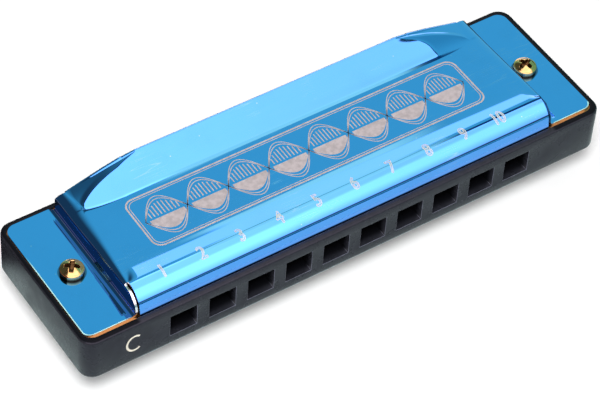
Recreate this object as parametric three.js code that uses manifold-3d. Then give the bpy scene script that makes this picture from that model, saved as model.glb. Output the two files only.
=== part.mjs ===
// A ten-hole diatonic harmonica: a plastic comb between two brass reed plates, riveted reeds, and two
// pressed sheet-metal covers bolted together through the comb.
// Units are millimetres. +X runs from the low notes to the high ones, -Y faces the player, +Z is up.
// The origin is under the middle of the comb, level with the lowest point of the lower cover.
// While the pieces are made, y is 0 at the front face of the comb and z is 0 at its middle height.
import * as THREE from 'three';
import { mergeVertices } from 'three/addons/utils/BufferGeometryUtils.js';
import Module from 'manifold-3d';

const wasm = await Module();
wasm.setup();

// ---- Driving dimensions -------------------------------------------------------------------------

// Mouth holes and the chambers behind them
const HOLE_COUNT = 10;
const HOLE_PITCH = 7.36;
const HOLE_WIDTH = 5.06;
const HOLE_HEIGHT = 4.63;
const CHAMBER_HEIGHT = 6;
const CHAMBER_CORNER_RADIUS = 0.6;
const MOUTH_WALL = 4.2; // from the front face to the start of the chambers

// Reeds, from the longest at hole one to the shortest at the last hole
const LONGEST_SLOT = 15.5;
const SHORTEST_SLOT = 8;
const WIDEST_REED = 2.2;
const NARROWEST_REED = 1.8;
const REED_THICKNESS = 0.26;
const REED_BELLY = 0.15; // thickness where the tongue is scraped thin
const REED_LIFT = 0.1; // air between the plate and the resting tongue
const FOOT_LENGTH = 3;
const FOOT_SIDE = 0.15; // how far the foot is wider than the tongue, on each side
const RIVET_RADIUS = 0.6;
const RIVET_HEAD_RADIUS = 0.95;
const RIVET_HEAD_HEIGHT = 0.3;
const SLOT_SETBACK = 0.8; // from the front of a chamber to the tips of its slots
const SLOT_CLEARANCE = 0.06; // on each side of a tongue, and past its tip
const ROOT_GAP = 0.05; // between a tongue and its foot, where it flexes
const CHAMBER_BEHIND_FOOT = 0.5;

// Reed plates
const PLATE_THICKNESS = 0.95;
const PLATE_CORNER_RADIUS = 1.8;
const REAR_STRIP = 4.5; // solid comb behind the longest chamber, inside the recess

// Comb rim around the recesses
const RIM_END = 0.9;
const RIM_FRONT = 1.15;
const RIM_BACK = 0.8;
const RECESS_CORNER_RADIUS = 2;
const RECESS_CLEARANCE = 0.1; // around a reed plate
const COMB_CORNER_RADIUS = 2.5;
const COMB_EDGE_ROUND = 0.45;

// Covers, as heights above the top of the comb and lengths outside the sheet
const SHEET = 0.4;
const ROOF_HEIGHT = 4.1;
const CREST_HEIGHT = 4.45;
const SCOOP_HEIGHT = 6.5;
const BAND_HEIGHT = 2.1;
const BAND_LEAN = 0.42; // how far the band at the front leans back
const CREST_SETBACK = 3.47; // from the foot of the band to the crest of the bulge
const BULGE_TAIL = 5.4; // from the crest to where the bulge has run out into the roof
const SCOOP_DEPTH = 5.1; // from the crease of the scoop to its upper edge
const SCOOP_FILLET = 0.9; // half length of the soft crease below the scoop
const SCOOP_FLAT_HALF = 26; // half width of the level part of the raised rear edge
const SCOOP_TIP_RUN = 2.4; // from there to the scoop's side, at the rear edge
const SCOOP_END_RUN = 7; // from the flat face to the scoop's side, at the crease
const SCOOP_FROM_WALL = 2.7; // from the end wall to the scoop's side, at the crease
const SCOOP_ROUNDING = 2.6; // power of the curve of the scoop's sides
const SCOOP_FALL = 0.74; // how far the ends of the scoop fall away, as a share of its rise
const SCOOP_STEP = 0.6; // widest run of the step beside the scoop
const LIP_RADIUS = 0.5; // the rear edge is rolled down
const COVER_PAST_HOLES = 5.45; // from the outermost hole to the end wall
const FLANGE_LENGTH = 9;
const FLANGE_SETBACK = 0.45; // front edge of a flange behind the foot of the band
const FLANGE_FRONT_RADIUS = 1.2;
const FLANGE_BACK_RADIUS = 1.8;
const FOLD_RADIUS = 0.7;
const CORNER_SLIT = 0.25; // between the end of the bulge and the end wall
const WALL_EDGE_INSET = 0.35; // front edge of an end wall inside the outline of the bulge
const FRONT_SHOULDER_DROP = 0.4;
const REAR_SHOULDER_DROP = 1.2;
const SHOULDER_RUN = 2.2;
const REAR_SHOULDER_RUN = 1.5;
const COVER_REAR_GAP = 0.1; // rear edge of a flange in front of the reed plate's
const WALL_SETBACK = 1; // rear edge of an end wall in front of the flange's
const ROOF_SETBACK = 1.3; // upper edge of the scoop in front of the flange's rear edge

// Fasteners
const BOLT_RADIUS = 1;
const BOLT_HEAD_RADIUS = 2.05;
const BOLT_HEAD_HEIGHT = 1.8;
const BOLT_FROM_FLANGE_END = 4.9;
const BOLT_END_PAST_NUT = 0.35;
const NUT_ACROSS_FLATS = 4;
const NUT_HEIGHT = 1.6;
const SCREW_RADIUS = 0.75;
const SCREW_HEAD_RADIUS = 1.4;
const SCREW_HEAD_HEIGHT = 0.85;
const SCREW_SPREAD = 27; // the outer plate screws from the middle one
const SCREW_FROM_CHAMBER = 2.1; // behind the longest chamber
const HOLE_CLEARANCE = 0.1; // around a bolt or screw that passes through
const THREAD_CLEARANCE = 0.04; // around a bolt or screw in its thread
const RIVET_CLEARANCE = 0.05;

// ---- Places worked out from them ----------------------------------------------------------------

const holesHalf = ((HOLE_COUNT - 1) * HOLE_PITCH + HOLE_WIDTH) / 2;
const coverHalf = holesHalf + COVER_PAST_HOLES;
const flangeEnd = coverHalf + FLANGE_LENGTH;
const recessHalf = flangeEnd + 2 * RECESS_CLEARANCE;
const combHalf = recessHalf + RIM_END;

const deckTop = CHAMBER_HEIGHT / 2;
const plateTop = deckTop + PLATE_THICKNESS;
const combTop = plateTop + SHEET;

const slotFront = MOUTH_WALL + SLOT_SETBACK;
const longestChamberEnd = slotFront + LONGEST_SLOT + FOOT_LENGTH + CHAMBER_BEHIND_FOOT;
const recessBack = longestChamberEnd + REAR_STRIP + RECESS_CLEARANCE;
const combDepth = recessBack + RIM_BACK;
const plateFront = RIM_FRONT + RECESS_CLEARANCE;
const plateBack = recessBack - RECESS_CLEARANCE;
const plateHalf = recessHalf - RECESS_CLEARANCE;

const bandFoot = plateFront + 0.03; // y of the cover's front edge, just behind that of the plate
const flangeBack = plateBack - COVER_REAR_GAP;
const wallBack = flangeBack - WALL_SETBACK;
const roofBack = flangeBack - ROOF_SETBACK;
const boltX = flangeEnd - BOLT_FROM_FLANGE_END;
const boltY = combDepth / 2;
const screwY = longestChamberEnd + SCREW_FROM_CHAMBER;
const boltPlaces = [['left', -boltX], ['right', boltX]];
const screwPlaces = [['left', -SCREW_SPREAD], ['middle', 0], ['right', SCREW_SPREAD]];

const { lerp } = THREE.MathUtils;

// The hole number, its place along X, its slot length and its reed width, one for each hole.
const notes = Array.from({ length: HOLE_COUNT }, (_, index) => {
  const along = index / (HOLE_COUNT - 1);
  return {
    label: String(index + 1).padStart(2, '0'),
    x: (index - (HOLE_COUNT - 1) / 2) * HOLE_PITCH,
    slot: lerp(LONGEST_SLOT, SHORTEST_SLOT, along),
    width: lerp(WIDEST_REED, NARROWEST_REED, along),
  };
});

// ---- Materials ----------------------------------------------------------------------------------

const materials = {
  comb: new THREE.MeshStandardMaterial({ color: 0x24262b, roughness: 0.42, metalness: 0 }),
  cover: new THREE.MeshStandardMaterial({ color: 0x2f9be6, roughness: 0.08, metalness: 1 }),
  plate: new THREE.MeshStandardMaterial({ color: 0xc08a4a, roughness: 0.3, metalness: 1 }),
  reed: new THREE.MeshStandardMaterial({ color: 0xd0a860, roughness: 0.35, metalness: 1 }),
  fastener: new THREE.MeshStandardMaterial({ color: 0xd9a441, roughness: 0.25, metalness: 1 }),
};

// ---- Helpers ------------------------------------------------------------------------------------

const CORNER_STEPS = 6;
const ROUND_STEPS = 16;
const RIVET_STEPS = 10;

function roundedRectangle(x0, y0, x1, y1, radius, steps = CORNER_STEPS) {
  const corners = [[x1 - radius, y0 + radius], [x1 - radius, y1 - radius],
    [x0 + radius, y1 - radius], [x0 + radius, y0 + radius]];
  const points = [];
  corners.forEach(([cx, cy], quarter) => {
    for (let step = 0; step <= steps; step += 1) {
      const angle = (quarter - 1 + step / steps) * Math.PI / 2;
      points.push(new THREE.Vector2(cx + radius * Math.cos(angle), cy + radius * Math.sin(angle)));
    }
  });
  return points;
}

function rectangle(x0, y0, x1, y1) {
  return [[x0, y0], [x1, y0], [x1, y1], [x0, y1]].map(([x, y]) => new THREE.Vector2(x, y));
}

function circle(x, y, radius, steps = ROUND_STEPS) {
  return Array.from({ length: steps }, (_, step) => {
    const angle = (step / steps) * Math.PI * 2;
    return new THREE.Vector2(x + radius * Math.cos(angle), y + radius * Math.sin(angle));
  });
}

// A plan outline with holes, raised from z0 to z1.
function slab(outline, z0, z1, holes = []) {
  const shape = new THREE.Shape(outline);
  holes.forEach((hole) => shape.holes.push(new THREE.Path(hole)));
  return new THREE.ExtrudeGeometry(shape, { depth: z1 - z0, bevelEnabled: false }).translate(0, 0, z0);
}

// A profile of [radius, z] pairs turned about a vertical axis.
function turned(profile, steps = ROUND_STEPS) {
  const points = profile.map(([radius, z]) => new THREE.Vector2(radius, z));
  return new THREE.LatheGeometry(points, steps).rotateX(Math.PI / 2);
}

function toSolid(geometry) {
  const bare = geometry.clone();
  bare.deleteAttribute('normal');
  bare.deleteAttribute('uv');
  const merged = mergeVertices(bare, 1e-5);
  return new wasm.Manifold(new wasm.Mesh({
    numProp: 3,
    vertProperties: new Float32Array(merged.attributes.position.array),
    triVerts: new Uint32Array(merged.index.array),
  }));
}

function toGeometry(solid) {
  const { vertProperties, triVerts } = solid.getMesh();
  const geometry = new THREE.BufferGeometry();
  geometry.setAttribute('position', new THREE.BufferAttribute(vertProperties, 3));
  geometry.setIndex(new THREE.BufferAttribute(triVerts, 1));
  geometry.computeVertexNormals();
  return geometry;
}

function cut(geometry, cutters) {
  const solid = cutters.reduce((body, cutter) => body.subtract(toSolid(cutter)), toSolid(geometry));
  return toGeometry(solid);
}

// ---- Comb ---------------------------------------------------------------------------------------

function chamberEnd(note) {
  return slotFront + note.slot + FOOT_LENGTH + CHAMBER_BEHIND_FOOT;
}

function combGeometry() {
  const outline = roundedRectangle(-combHalf, 0, combHalf, combDepth, COMB_CORNER_RADIUS);
  const body = new THREE.ExtrudeGeometry(new THREE.Shape(outline), {
    depth: 2 * (combTop - COMB_EDGE_ROUND),
    bevelThickness: COMB_EDGE_ROUND,
    bevelSize: COMB_EDGE_ROUND,
    bevelOffset: -COMB_EDGE_ROUND,
    bevelSegments: 3,
  }).translate(0, 0, COMB_EDGE_ROUND - combTop);

  const recess = roundedRectangle(-recessHalf, RIM_FRONT, recessHalf, recessBack, RECESS_CORNER_RADIUS);
  const cutters = [slab(recess, deckTop, combTop + 1), slab(recess, -combTop - 1, -deckTop)];
  notes.forEach((note) => {
    const x0 = note.x - HOLE_WIDTH / 2;
    const x1 = note.x + HOLE_WIDTH / 2;
    const chamber = roundedRectangle(x0, MOUTH_WALL, x1, chamberEnd(note), CHAMBER_CORNER_RADIUS, 3);
    cutters.push(slab(chamber, -deckTop - 1, deckTop + 1));
    const mouth = rectangle(x0, -1, x1, MOUTH_WALL + 2 * CHAMBER_CORNER_RADIUS);
    cutters.push(slab(mouth, -HOLE_HEIGHT / 2, HOLE_HEIGHT / 2));
  });
  boltPlaces.forEach(([, x]) => {
    cutters.push(slab(circle(x, boltY, BOLT_RADIUS + HOLE_CLEARANCE), -combTop, combTop));
  });
  screwPlaces.forEach(([, x]) => {
    cutters.push(slab(circle(x, screwY, SCREW_RADIUS + HOLE_CLEARANCE), -combTop, combTop));
  });
  return cut(body, cutters);
}

// ---- Reed plates and reeds ----------------------------------------------------------------------

function rootY(note) {
  return slotFront + note.slot;
}

function rivetY(note) {
  return rootY(note) + FOOT_LENGTH / 2;
}

// The plate seen from above, from z0 to z1. The screws are threaded into the lower plate.
function reedPlateGeometry(z0, z1, screwClearance) {
  const outline = roundedRectangle(-plateHalf, plateFront, plateHalf, plateBack, PLATE_CORNER_RADIUS);
  const holes = [];
  notes.forEach((note) => {
    const half = note.width / 2 + SLOT_CLEARANCE;
    holes.push(rectangle(note.x - half, slotFront, note.x + half, rootY(note)));
    holes.push(circle(note.x, rivetY(note), RIVET_RADIUS + RIVET_CLEARANCE, RIVET_STEPS));
  });
  boltPlaces.forEach(([, x]) => holes.push(circle(x, boltY, BOLT_RADIUS + HOLE_CLEARANCE)));
  screwPlaces.forEach(([, x]) => holes.push(circle(x, screwY, SCREW_RADIUS + screwClearance)));
  return cut(slab(outline, z0, z1), holes.map((hole) => slab(hole, z0 - 1, z1 + 1)));
}

// A tongue under a plate whose lower face is at plateZ: flat towards the plate, and scraped hollow on
// the other side between a full root and a full tip.
function tongueGeometry(note, plateZ) {
  const tip = slotFront + SLOT_CLEARANCE;
  const root = rootY(note) - ROOT_GAP;
  const top = plateZ - REED_LIFT;
  const outline = [new THREE.Vector2(tip, top), new THREE.Vector2(tip, top - REED_THICKNESS)];
  const belly = REED_THICKNESS - REED_BELLY;
  for (let step = 1; step < 8; step += 1) {
    const along = step / 8;
    const scrape = belly * Math.sin(Math.PI * along) ** 2;
    outline.push(new THREE.Vector2(tip + (root - tip) * along, top - REED_THICKNESS + scrape));
  }
  outline.push(new THREE.Vector2(root, top - REED_THICKNESS), new THREE.Vector2(root, top));
  const strip = new THREE.ExtrudeGeometry(new THREE.Shape(outline), {
    depth: note.width, bevelEnabled: false,
  });
  const sideways = new THREE.Matrix4().makeBasis(
    new THREE.Vector3(0, 1, 0), new THREE.Vector3(0, 0, 1), new THREE.Vector3(1, 0, 0));
  return strip.applyMatrix4(sideways).translate(note.x - note.width / 2, 0, 0);
}

// The foot of a reed, clamped under a plate by its rivet, with the rivet's heads on both sides.
function footGeometry(note, plateZ) {
  const thickness = REED_LIFT + REED_THICKNESS;
  const half = note.width / 2 + FOOT_SIDE;
  const pad = slab(rectangle(note.x - half, rootY(note), note.x + half, rootY(note) + FOOT_LENGTH),
    plateZ - thickness, plateZ);
  const low = plateZ - thickness;
  const high = plateZ + PLATE_THICKNESS;
  const edge = 0.7 * RIVET_HEAD_RADIUS;
  const rivet = turned([
    [0, low - RIVET_HEAD_HEIGHT], [edge, low - RIVET_HEAD_HEIGHT], [RIVET_HEAD_RADIUS, low - 0.1],
    [RIVET_HEAD_RADIUS, low + 0.1], [RIVET_RADIUS, low + 0.1], [RIVET_RADIUS, high],
    [RIVET_HEAD_RADIUS, high], [edge, high + RIVET_HEAD_HEIGHT], [0, high + RIVET_HEAD_HEIGHT],
  ], RIVET_STEPS).translate(note.x, rivetY(note), 0);
  return toGeometry(toSolid(pad).add(toSolid(rivet)));
}

// ---- Covers -------------------------------------------------------------------------------------

// Heights in this section are above the top of the comb; z 0 there is combTop.
const joinY = bandFoot + 4.02; // where the bulge ends beside the slits at the corners
const crestY = bandFoot + CREST_SETBACK;
const scoopY = roofBack - SCOOP_DEPTH;
const scoopClimb = SCOOP_HEIGHT - ROOF_HEIGHT;
const bulgeHalf = coverHalf - SHEET - CORNER_SLIT;

// The front of the bulge: a curve that leaves the band steeply and reaches the crest level.
const bulgeFront = new THREE.CubicBezierCurve(
  new THREE.Vector2(bandFoot + BAND_LEAN, BAND_HEIGHT),
  new THREE.Vector2(bandFoot + BAND_LEAN + 0.3, BAND_HEIGHT + 0.34 * (CREST_HEIGHT - BAND_HEIGHT)),
  new THREE.Vector2(crestY - 1.55, CREST_HEIGHT),
  new THREE.Vector2(crestY, CREST_HEIGHT),
);

// The bulge from its crest back to the roof, level at both ends of its tail.
function roofHeight(y) {
  const back = THREE.MathUtils.clamp((y - crestY) / BULGE_TAIL, 0, 1);
  return ROOF_HEIGHT + (CREST_HEIGHT - ROOF_HEIGHT) * (1 - back) ** 4 * (1 + 4 * back);
}

// The y of the front outline at a height, by halving on the rising curve.
function frontAt(height) {
  if (height <= BAND_HEIGHT) return bandFoot + BAND_LEAN * (height + SHEET) / (BAND_HEIGHT + SHEET);
  let low = 0;
  let high = 1;
  for (let turn = 0; turn < 30; turn += 1) {
    const middle = (low + high) / 2;
    if (bulgeFront.getPoint(middle).y < height) low = middle;
    else high = middle;
  }
  return bulgeFront.getPoint(low).x;
}

// How far y is up the scoop: 0 at its crease and before, 1 at its upper edge.
function scoopShare(y) {
  return THREE.MathUtils.clamp((y - scoopY) / SCOOP_DEPTH, 0, 1);
}

// Narrows the scoop from 1 at its crease to 0 at its upper edge.
function scoopNarrowing(y) {
  return 1 - scoopShare(y) ** SCOOP_ROUNDING;
}

// Half width of the whole scoop.
function scoopHalf(y) {
  return lerp(SCOOP_FLAT_HALF + SCOOP_TIP_RUN, coverHalf - SCOOP_FROM_WALL, scoopNarrowing(y));
}

// Half width of the scoop's flat face.
function scoopFaceHalf(y) {
  return scoopHalf(y) - lerp(SCOOP_TIP_RUN, SCOOP_END_RUN, scoopNarrowing(y));
}

// Height of the ramp from the top of the end wall up to the level part of the rear edge.
function rampRise(x) {
  const run = coverHalf - REAR_SHOULDER_RUN - SCOOP_FLAT_HALF;
  return scoopClimb * THREE.MathUtils.clamp(1 - (x - SCOOP_FLAT_HALF) / run, 0, 1);
}

// Height of the scoop above the roof: an even slope after the soft crease. Outside the flat face it
// falls away; ends runs from 0 at that face to 1 at the scoop's side, which meets the ramp at the rear.
function scoopRise(y, ends) {
  const share = scoopShare(y);
  const past = THREE.MathUtils.clamp(y - scoopY, -SCOOP_FILLET, SCOOP_FILLET);
  const along = (past + SCOOP_FILLET) ** 2 / (4 * SCOOP_FILLET) + Math.max(0, y - scoopY - SCOOP_FILLET);
  const level = scoopClimb * along / SCOOP_DEPTH;
  const tipFall = scoopClimb - rampRise(SCOOP_FLAT_HALF + SCOOP_TIP_RUN);
  const fall = SCOOP_FALL * scoopClimb * share * (1 - share) + tipFall * share * share;
  return level - fall * ends;
}

// Height above the roof beside the scoop, which climbs towards the ramp at the rear edge.
function besideRise(x, y) {
  return Math.min(rampRise(x) * (1 - (1 - scoopShare(y)) ** 2), scoopRise(y, 1));
}

// Width of the rounded shoulder between roof and end wall: narrow at the bulge, wide at the scoop.
function shoulderRun(y) {
  const front = coverHalf - bulgeHalf;
  const along = THREE.MathUtils.clamp((y - joinY) / (scoopY - joinY), 0, 1);
  const run = lerp(front, SHOULDER_RUN, along);
  return lerp(run, REAR_SHOULDER_RUN, scoopShare(y));
}

// Height of the top of the end wall, lower towards the rear.
function wallTop(y) {
  const along = THREE.MathUtils.clamp((y - joinY) / (roofBack - joinY), 0, 1);
  return ROOF_HEIGHT - lerp(FRONT_SHOULDER_DROP, REAR_SHOULDER_DROP, along);
}

// The columns of the cover's grid on one side, from the middle outwards. Each gives the place at a
// nominal y, which runs from joinY at the bulge to roofBack at the upper edge of the scoop.
function coverColumns() {
  const columns = [];
  const roofColumn = (place) => columns.push({ roof: true, place });
  [0, 0.5, 1].forEach((share) => roofColumn((y) => (
    { x: share * scoopFaceHalf(y), y, z: roofHeight(y) + scoopRise(y, 0) })));
  [0.5, 1].forEach((ends) => roofColumn((y) => (
    { x: lerp(scoopFaceHalf(y), scoopHalf(y), ends), y, z: roofHeight(y) + scoopRise(y, ends) })));
  const foot = (y) => {
    const wide = scoopHalf(y) + SCOOP_STEP * (1 - scoopShare(y)) + 0.15;
    return Math.min(wide, coverHalf - shoulderRun(y) - 0.1);
  };
  [0, 0.5, 1].forEach((share) => roofColumn((y) => {
    const x = lerp(foot(y), coverHalf - shoulderRun(y), share);
    return { x, y, z: roofHeight(y) + besideRise(x, y) };
  }));
  [30, 60, 90].forEach((degrees) => columns.push({
    place: (y) => {
      const angle = THREE.MathUtils.degToRad(degrees);
      const run = shoulderRun(y);
      const top = roofHeight(y) + besideRise(coverHalf - run, y);
      const low = wallTop(y);
      const front = degrees === 90 ? frontEdge(low) : joinY;
      return {
        x: coverHalf - run * (1 - Math.sin(angle)),
        y: stretch(y, front, lerp(roofBack, wallBack, degrees / 90)),
        z: low + (top - low) * Math.cos(angle),
      };
    },
  }));
  [0.75, 0.5, 0.25, 0].forEach((share) => columns.push({
    place: (y) => {
      const front = frontEdge(lerp(FOLD_RADIUS, wallTop(joinY), share));
      return { x: coverHalf, y: stretch(y, front, wallBack), z: lerp(FOLD_RADIUS, wallTop(y), share) };
    },
  }));
  const flangeFront = bandFoot + FLANGE_SETBACK;
  [30, 60, 90].forEach((degrees) => columns.push({
    place: (y) => {
      const angle = THREE.MathUtils.degToRad(degrees);
      const front = lerp(frontEdge(FOLD_RADIUS), flangeFront, degrees / 90);
      return {
        x: coverHalf + FOLD_RADIUS * (1 - Math.cos(angle)),
        y: stretch(y, front, lerp(wallBack, flangeBack, degrees / 90)),
        z: FOLD_RADIUS * (1 - Math.sin(angle)),
      };
    },
  }));
  [0, 30, 60, 90].forEach((degrees) => columns.push({
    place: (y) => {
      const angle = THREE.MathUtils.degToRad(degrees);
      const round = 1 - Math.cos(angle);
      const front = flangeFront + FLANGE_FRONT_RADIUS * round;
      return {
        x: flangeEnd - FLANGE_BACK_RADIUS * (1 - Math.sin(angle)),
        y: stretch(y, front, flangeBack - FLANGE_BACK_RADIUS * round),
        z: 0,
      };
    },
  }));
  return columns;
}

// Front edge of the end wall at a height, a little inside the outline of the bulge.
function frontEdge(height) {
  return frontAt(Math.min(height + WALL_EDGE_INSET, CREST_HEIGHT - 0.01)) + WALL_EDGE_INSET / 2;
}

// Moves a nominal y from the span joinY to roofBack onto the span front to back.
function stretch(y, front, back) {
  return front + (back - front) * (y - joinY) / (roofBack - joinY);
}

// A point of the rolled lip behind a column of the roof: share runs from 0 where the lip leaves the
// roof to 1 where it points straight down.
function lipPlace(place, share) {
  const end = place(roofBack);
  const before = place(roofBack - 0.5);
  const slope = Math.atan2(end.z - before.z, end.y - before.y);
  const angle = slope - share * (slope + Math.PI / 2);
  return {
    x: end.x,
    y: end.y + LIP_RADIUS * (Math.sin(slope) - Math.sin(angle)),
    z: end.z + LIP_RADIUS * (Math.cos(angle) - Math.cos(slope)),
  };
}

// One closed solid of sheet metal: a grid of outer points, the same grid moved in by the sheet's
// thickness, and a strip along every free edge. Columns beside the roof have no rows on the bulge.
function coverGeometry() {
  const half = coverColumns();
  const mirrored = (column) => ({
    roof: column.roof,
    place: (y) => {
      const point = column.place(y);
      return { ...point, x: -point.x };
    },
  });
  const columns = [...half.slice(1).reverse().map(mirrored), ...half];

  const frontRows = [
    { y: bandFoot, z: -SHEET }, { y: bandFoot + BAND_LEAN, z: BAND_HEIGHT },
    ...[0.2, 0.4, 0.6, 0.8, 1].map((t) => bulgeFront.getPoint(t)).map(({ x, y }) => ({ y: x, z: y })),
  ];
  const mainRows = [
    ...[0, 0.25, 0.55, 1].map((share) => lerp(joinY, crestY + BULGE_TAIL, share)),
    scoopY - SCOOP_FILLET, scoopY + SCOOP_FILLET,
    ...[0.45, 0.7, 0.88, 1].map((share) => lerp(scoopY, roofBack, share)),
  ];

  // Outer points, with null where the grid has no sheet.
  const rows = [];
  frontRows.forEach(({ y, z }) => rows.push(columns.map(({ roof, place }) => (
    roof ? new THREE.Vector3(place(joinY).x, y, z) : null))));
  const vector = ({ x, y, z }) => new THREE.Vector3(x, y, z);
  mainRows.forEach((nominal) => rows.push(columns.map(({ place }) => vector(place(nominal)))));
  [0.25, 0.5, 0.75, 1].forEach((share) => rows.push(columns.map(({ roof, place }) => (
    roof ? vector(lipPlace(place, share)) : null))));
  const cells = [];
  for (let j = 0; j + 1 < rows.length; j += 1) {
    for (let i = 0; i + 1 < columns.length; i += 1) {
      const corners = [[i, j], [i + 1, j], [i + 1, j + 1], [i, j + 1]];
      if (corners.every(([a, b]) => rows[b][a])) cells.push(corners.map(([a, b]) => b * columns.length + a));
    }
  }
  return sheetSolid(rows.flat(), cells, SHEET, -SHEET).translate(0, 0, combTop);
}

// Closes a patch of quads into a sheet: points are moved against their averaged normals by the
// thickness, but not below the floor height.
function sheetSolid(points, cells, thickness, floor) {
  const normals = points.map(() => new THREE.Vector3());
  const edge = new THREE.Vector3();
  const other = new THREE.Vector3();
  cells.forEach((cell) => {
    edge.subVectors(points[cell[2]], points[cell[0]]);
    other.subVectors(points[cell[3]], points[cell[1]]);
    const normal = new THREE.Vector3().crossVectors(edge, other).normalize();
    cell.forEach((index) => normals[index].add(normal));
  });
  const used = [...new Set(cells.flat())];
  const place = new Map(used.map((index, order) => [index, order]));
  const positions = [];
  used.forEach((index) => positions.push(...points[index].toArray()));
  used.forEach((index) => {
    const inner = points[index].clone().addScaledVector(normals[index].normalize(), -thickness);
    inner.z = Math.max(inner.z, floor);
    positions.push(...inner.toArray());
  });
  const triangles = [];
  const quad = (a, b, c, d) => triangles.push(a, b, c, a, c, d);
  const edges = new Map();
  cells.forEach((cell) => {
    const [a, b, c, d] = cell.map((index) => place.get(index));
    quad(a, b, c, d);
    quad(d + used.length, c + used.length, b + used.length, a + used.length);
    [[a, b], [b, c], [c, d], [d, a]].forEach(([from, to]) => edges.set(`${from} ${to}`, [from, to]));
  });
  edges.forEach(([from, to]) => {
    if (edges.has(`${to} ${from}`)) return;
    quad(to, from, from + used.length, to + used.length);
  });
  const geometry = new THREE.BufferGeometry();
  geometry.setAttribute('position', new THREE.Float32BufferAttribute(positions, 3));
  geometry.setIndex(triangles);
  geometry.computeVertexNormals();
  return geometry;
}

function upperCoverGeometry() {
  const holes = boltPlaces.map(([, x]) => (
    slab(circle(x, boltY, BOLT_RADIUS + HOLE_CLEARANCE), plateTop - 1, combTop + 1)));
  return cut(coverGeometry(), holes);
}

// ---- Fasteners ----------------------------------------------------------------------------------

// A pan-head bolt or screw, head up, whose head seats at z 0.
function panHeadGeometry(headRadius, headHeight, radius, length) {
  const tip = 0.3 * radius;
  return turned([
    [0, -length], [radius - tip, -length], [radius, -length + tip], [radius, 0], [headRadius, 0],
    [headRadius, 0.45 * headHeight], [0.9 * headRadius, 0.75 * headHeight],
    [0.65 * headRadius, 0.95 * headHeight], [0, headHeight],
  ]);
}

function nutGeometry() {
  const corner = NUT_ACROSS_FLATS / Math.sqrt(3);
  return slab(circle(0, 0, corner, 6), -NUT_HEIGHT, 0,
    [circle(0, 0, BOLT_RADIUS + THREAD_CLEARANCE)]);
}

// ---- Assembly -----------------------------------------------------------------------------------

const upperCover = upperCoverGeometry();
upperCover.computeBoundingBox();

const harmonica = new THREE.Group();
harmonica.position.set(0, -combDepth / 2, upperCover.boundingBox.max.z);

function add(name, geometry, material, x = 0, y = 0, z = 0) {
  const mesh = new THREE.Mesh(geometry, material);
  mesh.name = name;
  mesh.position.set(x, y, z);
  harmonica.add(mesh);
}

add('comb', combGeometry(), materials.comb);
add('upper_reed_plate', reedPlateGeometry(deckTop, plateTop, HOLE_CLEARANCE), materials.plate);
add('lower_reed_plate', reedPlateGeometry(-plateTop, -deckTop, THREAD_CLEARANCE), materials.plate);
notes.forEach((note) => {
  add(`blow_reed_${note.label}`, tongueGeometry(note, deckTop), materials.reed);
  add(`blow_reed_foot_${note.label}`, footGeometry(note, deckTop), materials.reed);
  add(`draw_reed_${note.label}`, tongueGeometry(note, -plateTop), materials.reed);
  add(`draw_reed_foot_${note.label}`, footGeometry(note, -plateTop), materials.reed);
});

add('upper_cover', upperCover, materials.cover);
add('lower_cover', upperCover.clone().rotateY(Math.PI), materials.cover);

boltPlaces.forEach(([side, x]) => {
  const length = 2 * combTop + NUT_HEIGHT + BOLT_END_PAST_NUT;
  const bolt = panHeadGeometry(BOLT_HEAD_RADIUS, BOLT_HEAD_HEIGHT, BOLT_RADIUS, length);
  add(`cover_bolt_${side}`, bolt, materials.fastener, x, boltY, combTop);
  add(`cover_nut_${side}`, nutGeometry(), materials.fastener, x, boltY, -combTop);
});
screwPlaces.forEach(([side, x]) => {
  const screw = panHeadGeometry(SCREW_HEAD_RADIUS, SCREW_HEAD_HEIGHT, SCREW_RADIUS, 2 * plateTop);
  add(`plate_screw_${side}`, screw, materials.fastener, x, screwY, plateTop);
});

export default harmonica;
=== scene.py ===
"""Looks for a ten-hole diatonic harmonica with blue mirror-finished covers on a dark plastic comb.

All lengths are in metres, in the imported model's frame: +X towards the high notes, -Y towards the
player, +Z up, with the floor at z 0. The panel "Harmonica" in the 3D view's sidebar lists the steps.
"""

import math

import bmesh
import bpy
import numpy as np
from bpy.props import FloatProperty, FloatVectorProperty, PointerProperty
from mathutils import Matrix, Vector


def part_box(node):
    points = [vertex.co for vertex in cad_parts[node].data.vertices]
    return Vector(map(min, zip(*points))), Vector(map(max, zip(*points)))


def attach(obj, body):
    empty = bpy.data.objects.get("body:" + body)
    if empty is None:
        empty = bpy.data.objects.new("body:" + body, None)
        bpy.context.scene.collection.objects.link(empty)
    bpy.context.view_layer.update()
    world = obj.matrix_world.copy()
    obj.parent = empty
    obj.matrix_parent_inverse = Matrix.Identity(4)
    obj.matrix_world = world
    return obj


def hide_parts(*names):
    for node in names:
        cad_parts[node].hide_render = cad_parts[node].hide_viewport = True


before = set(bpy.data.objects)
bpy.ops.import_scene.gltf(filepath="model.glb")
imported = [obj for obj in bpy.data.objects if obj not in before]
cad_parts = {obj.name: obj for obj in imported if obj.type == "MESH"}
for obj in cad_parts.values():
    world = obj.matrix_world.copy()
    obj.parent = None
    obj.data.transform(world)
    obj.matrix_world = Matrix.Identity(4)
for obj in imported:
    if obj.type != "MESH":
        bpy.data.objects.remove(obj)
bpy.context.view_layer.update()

bl_info = {
    "name": "Ten-hole harmonica",
    "version": (1, 0, 0),
    "blender": (4, 5, 0),
    "location": "3D View > Sidebar > Harmonica",
    "description": "Finishes, marks and studio for a diatonic harmonica",
    "category": "Object",
}

MM = 0.001
QUARTER = math.pi / 2
CASE = "harmonica"  # the body that every fixed piece rides on

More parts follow.
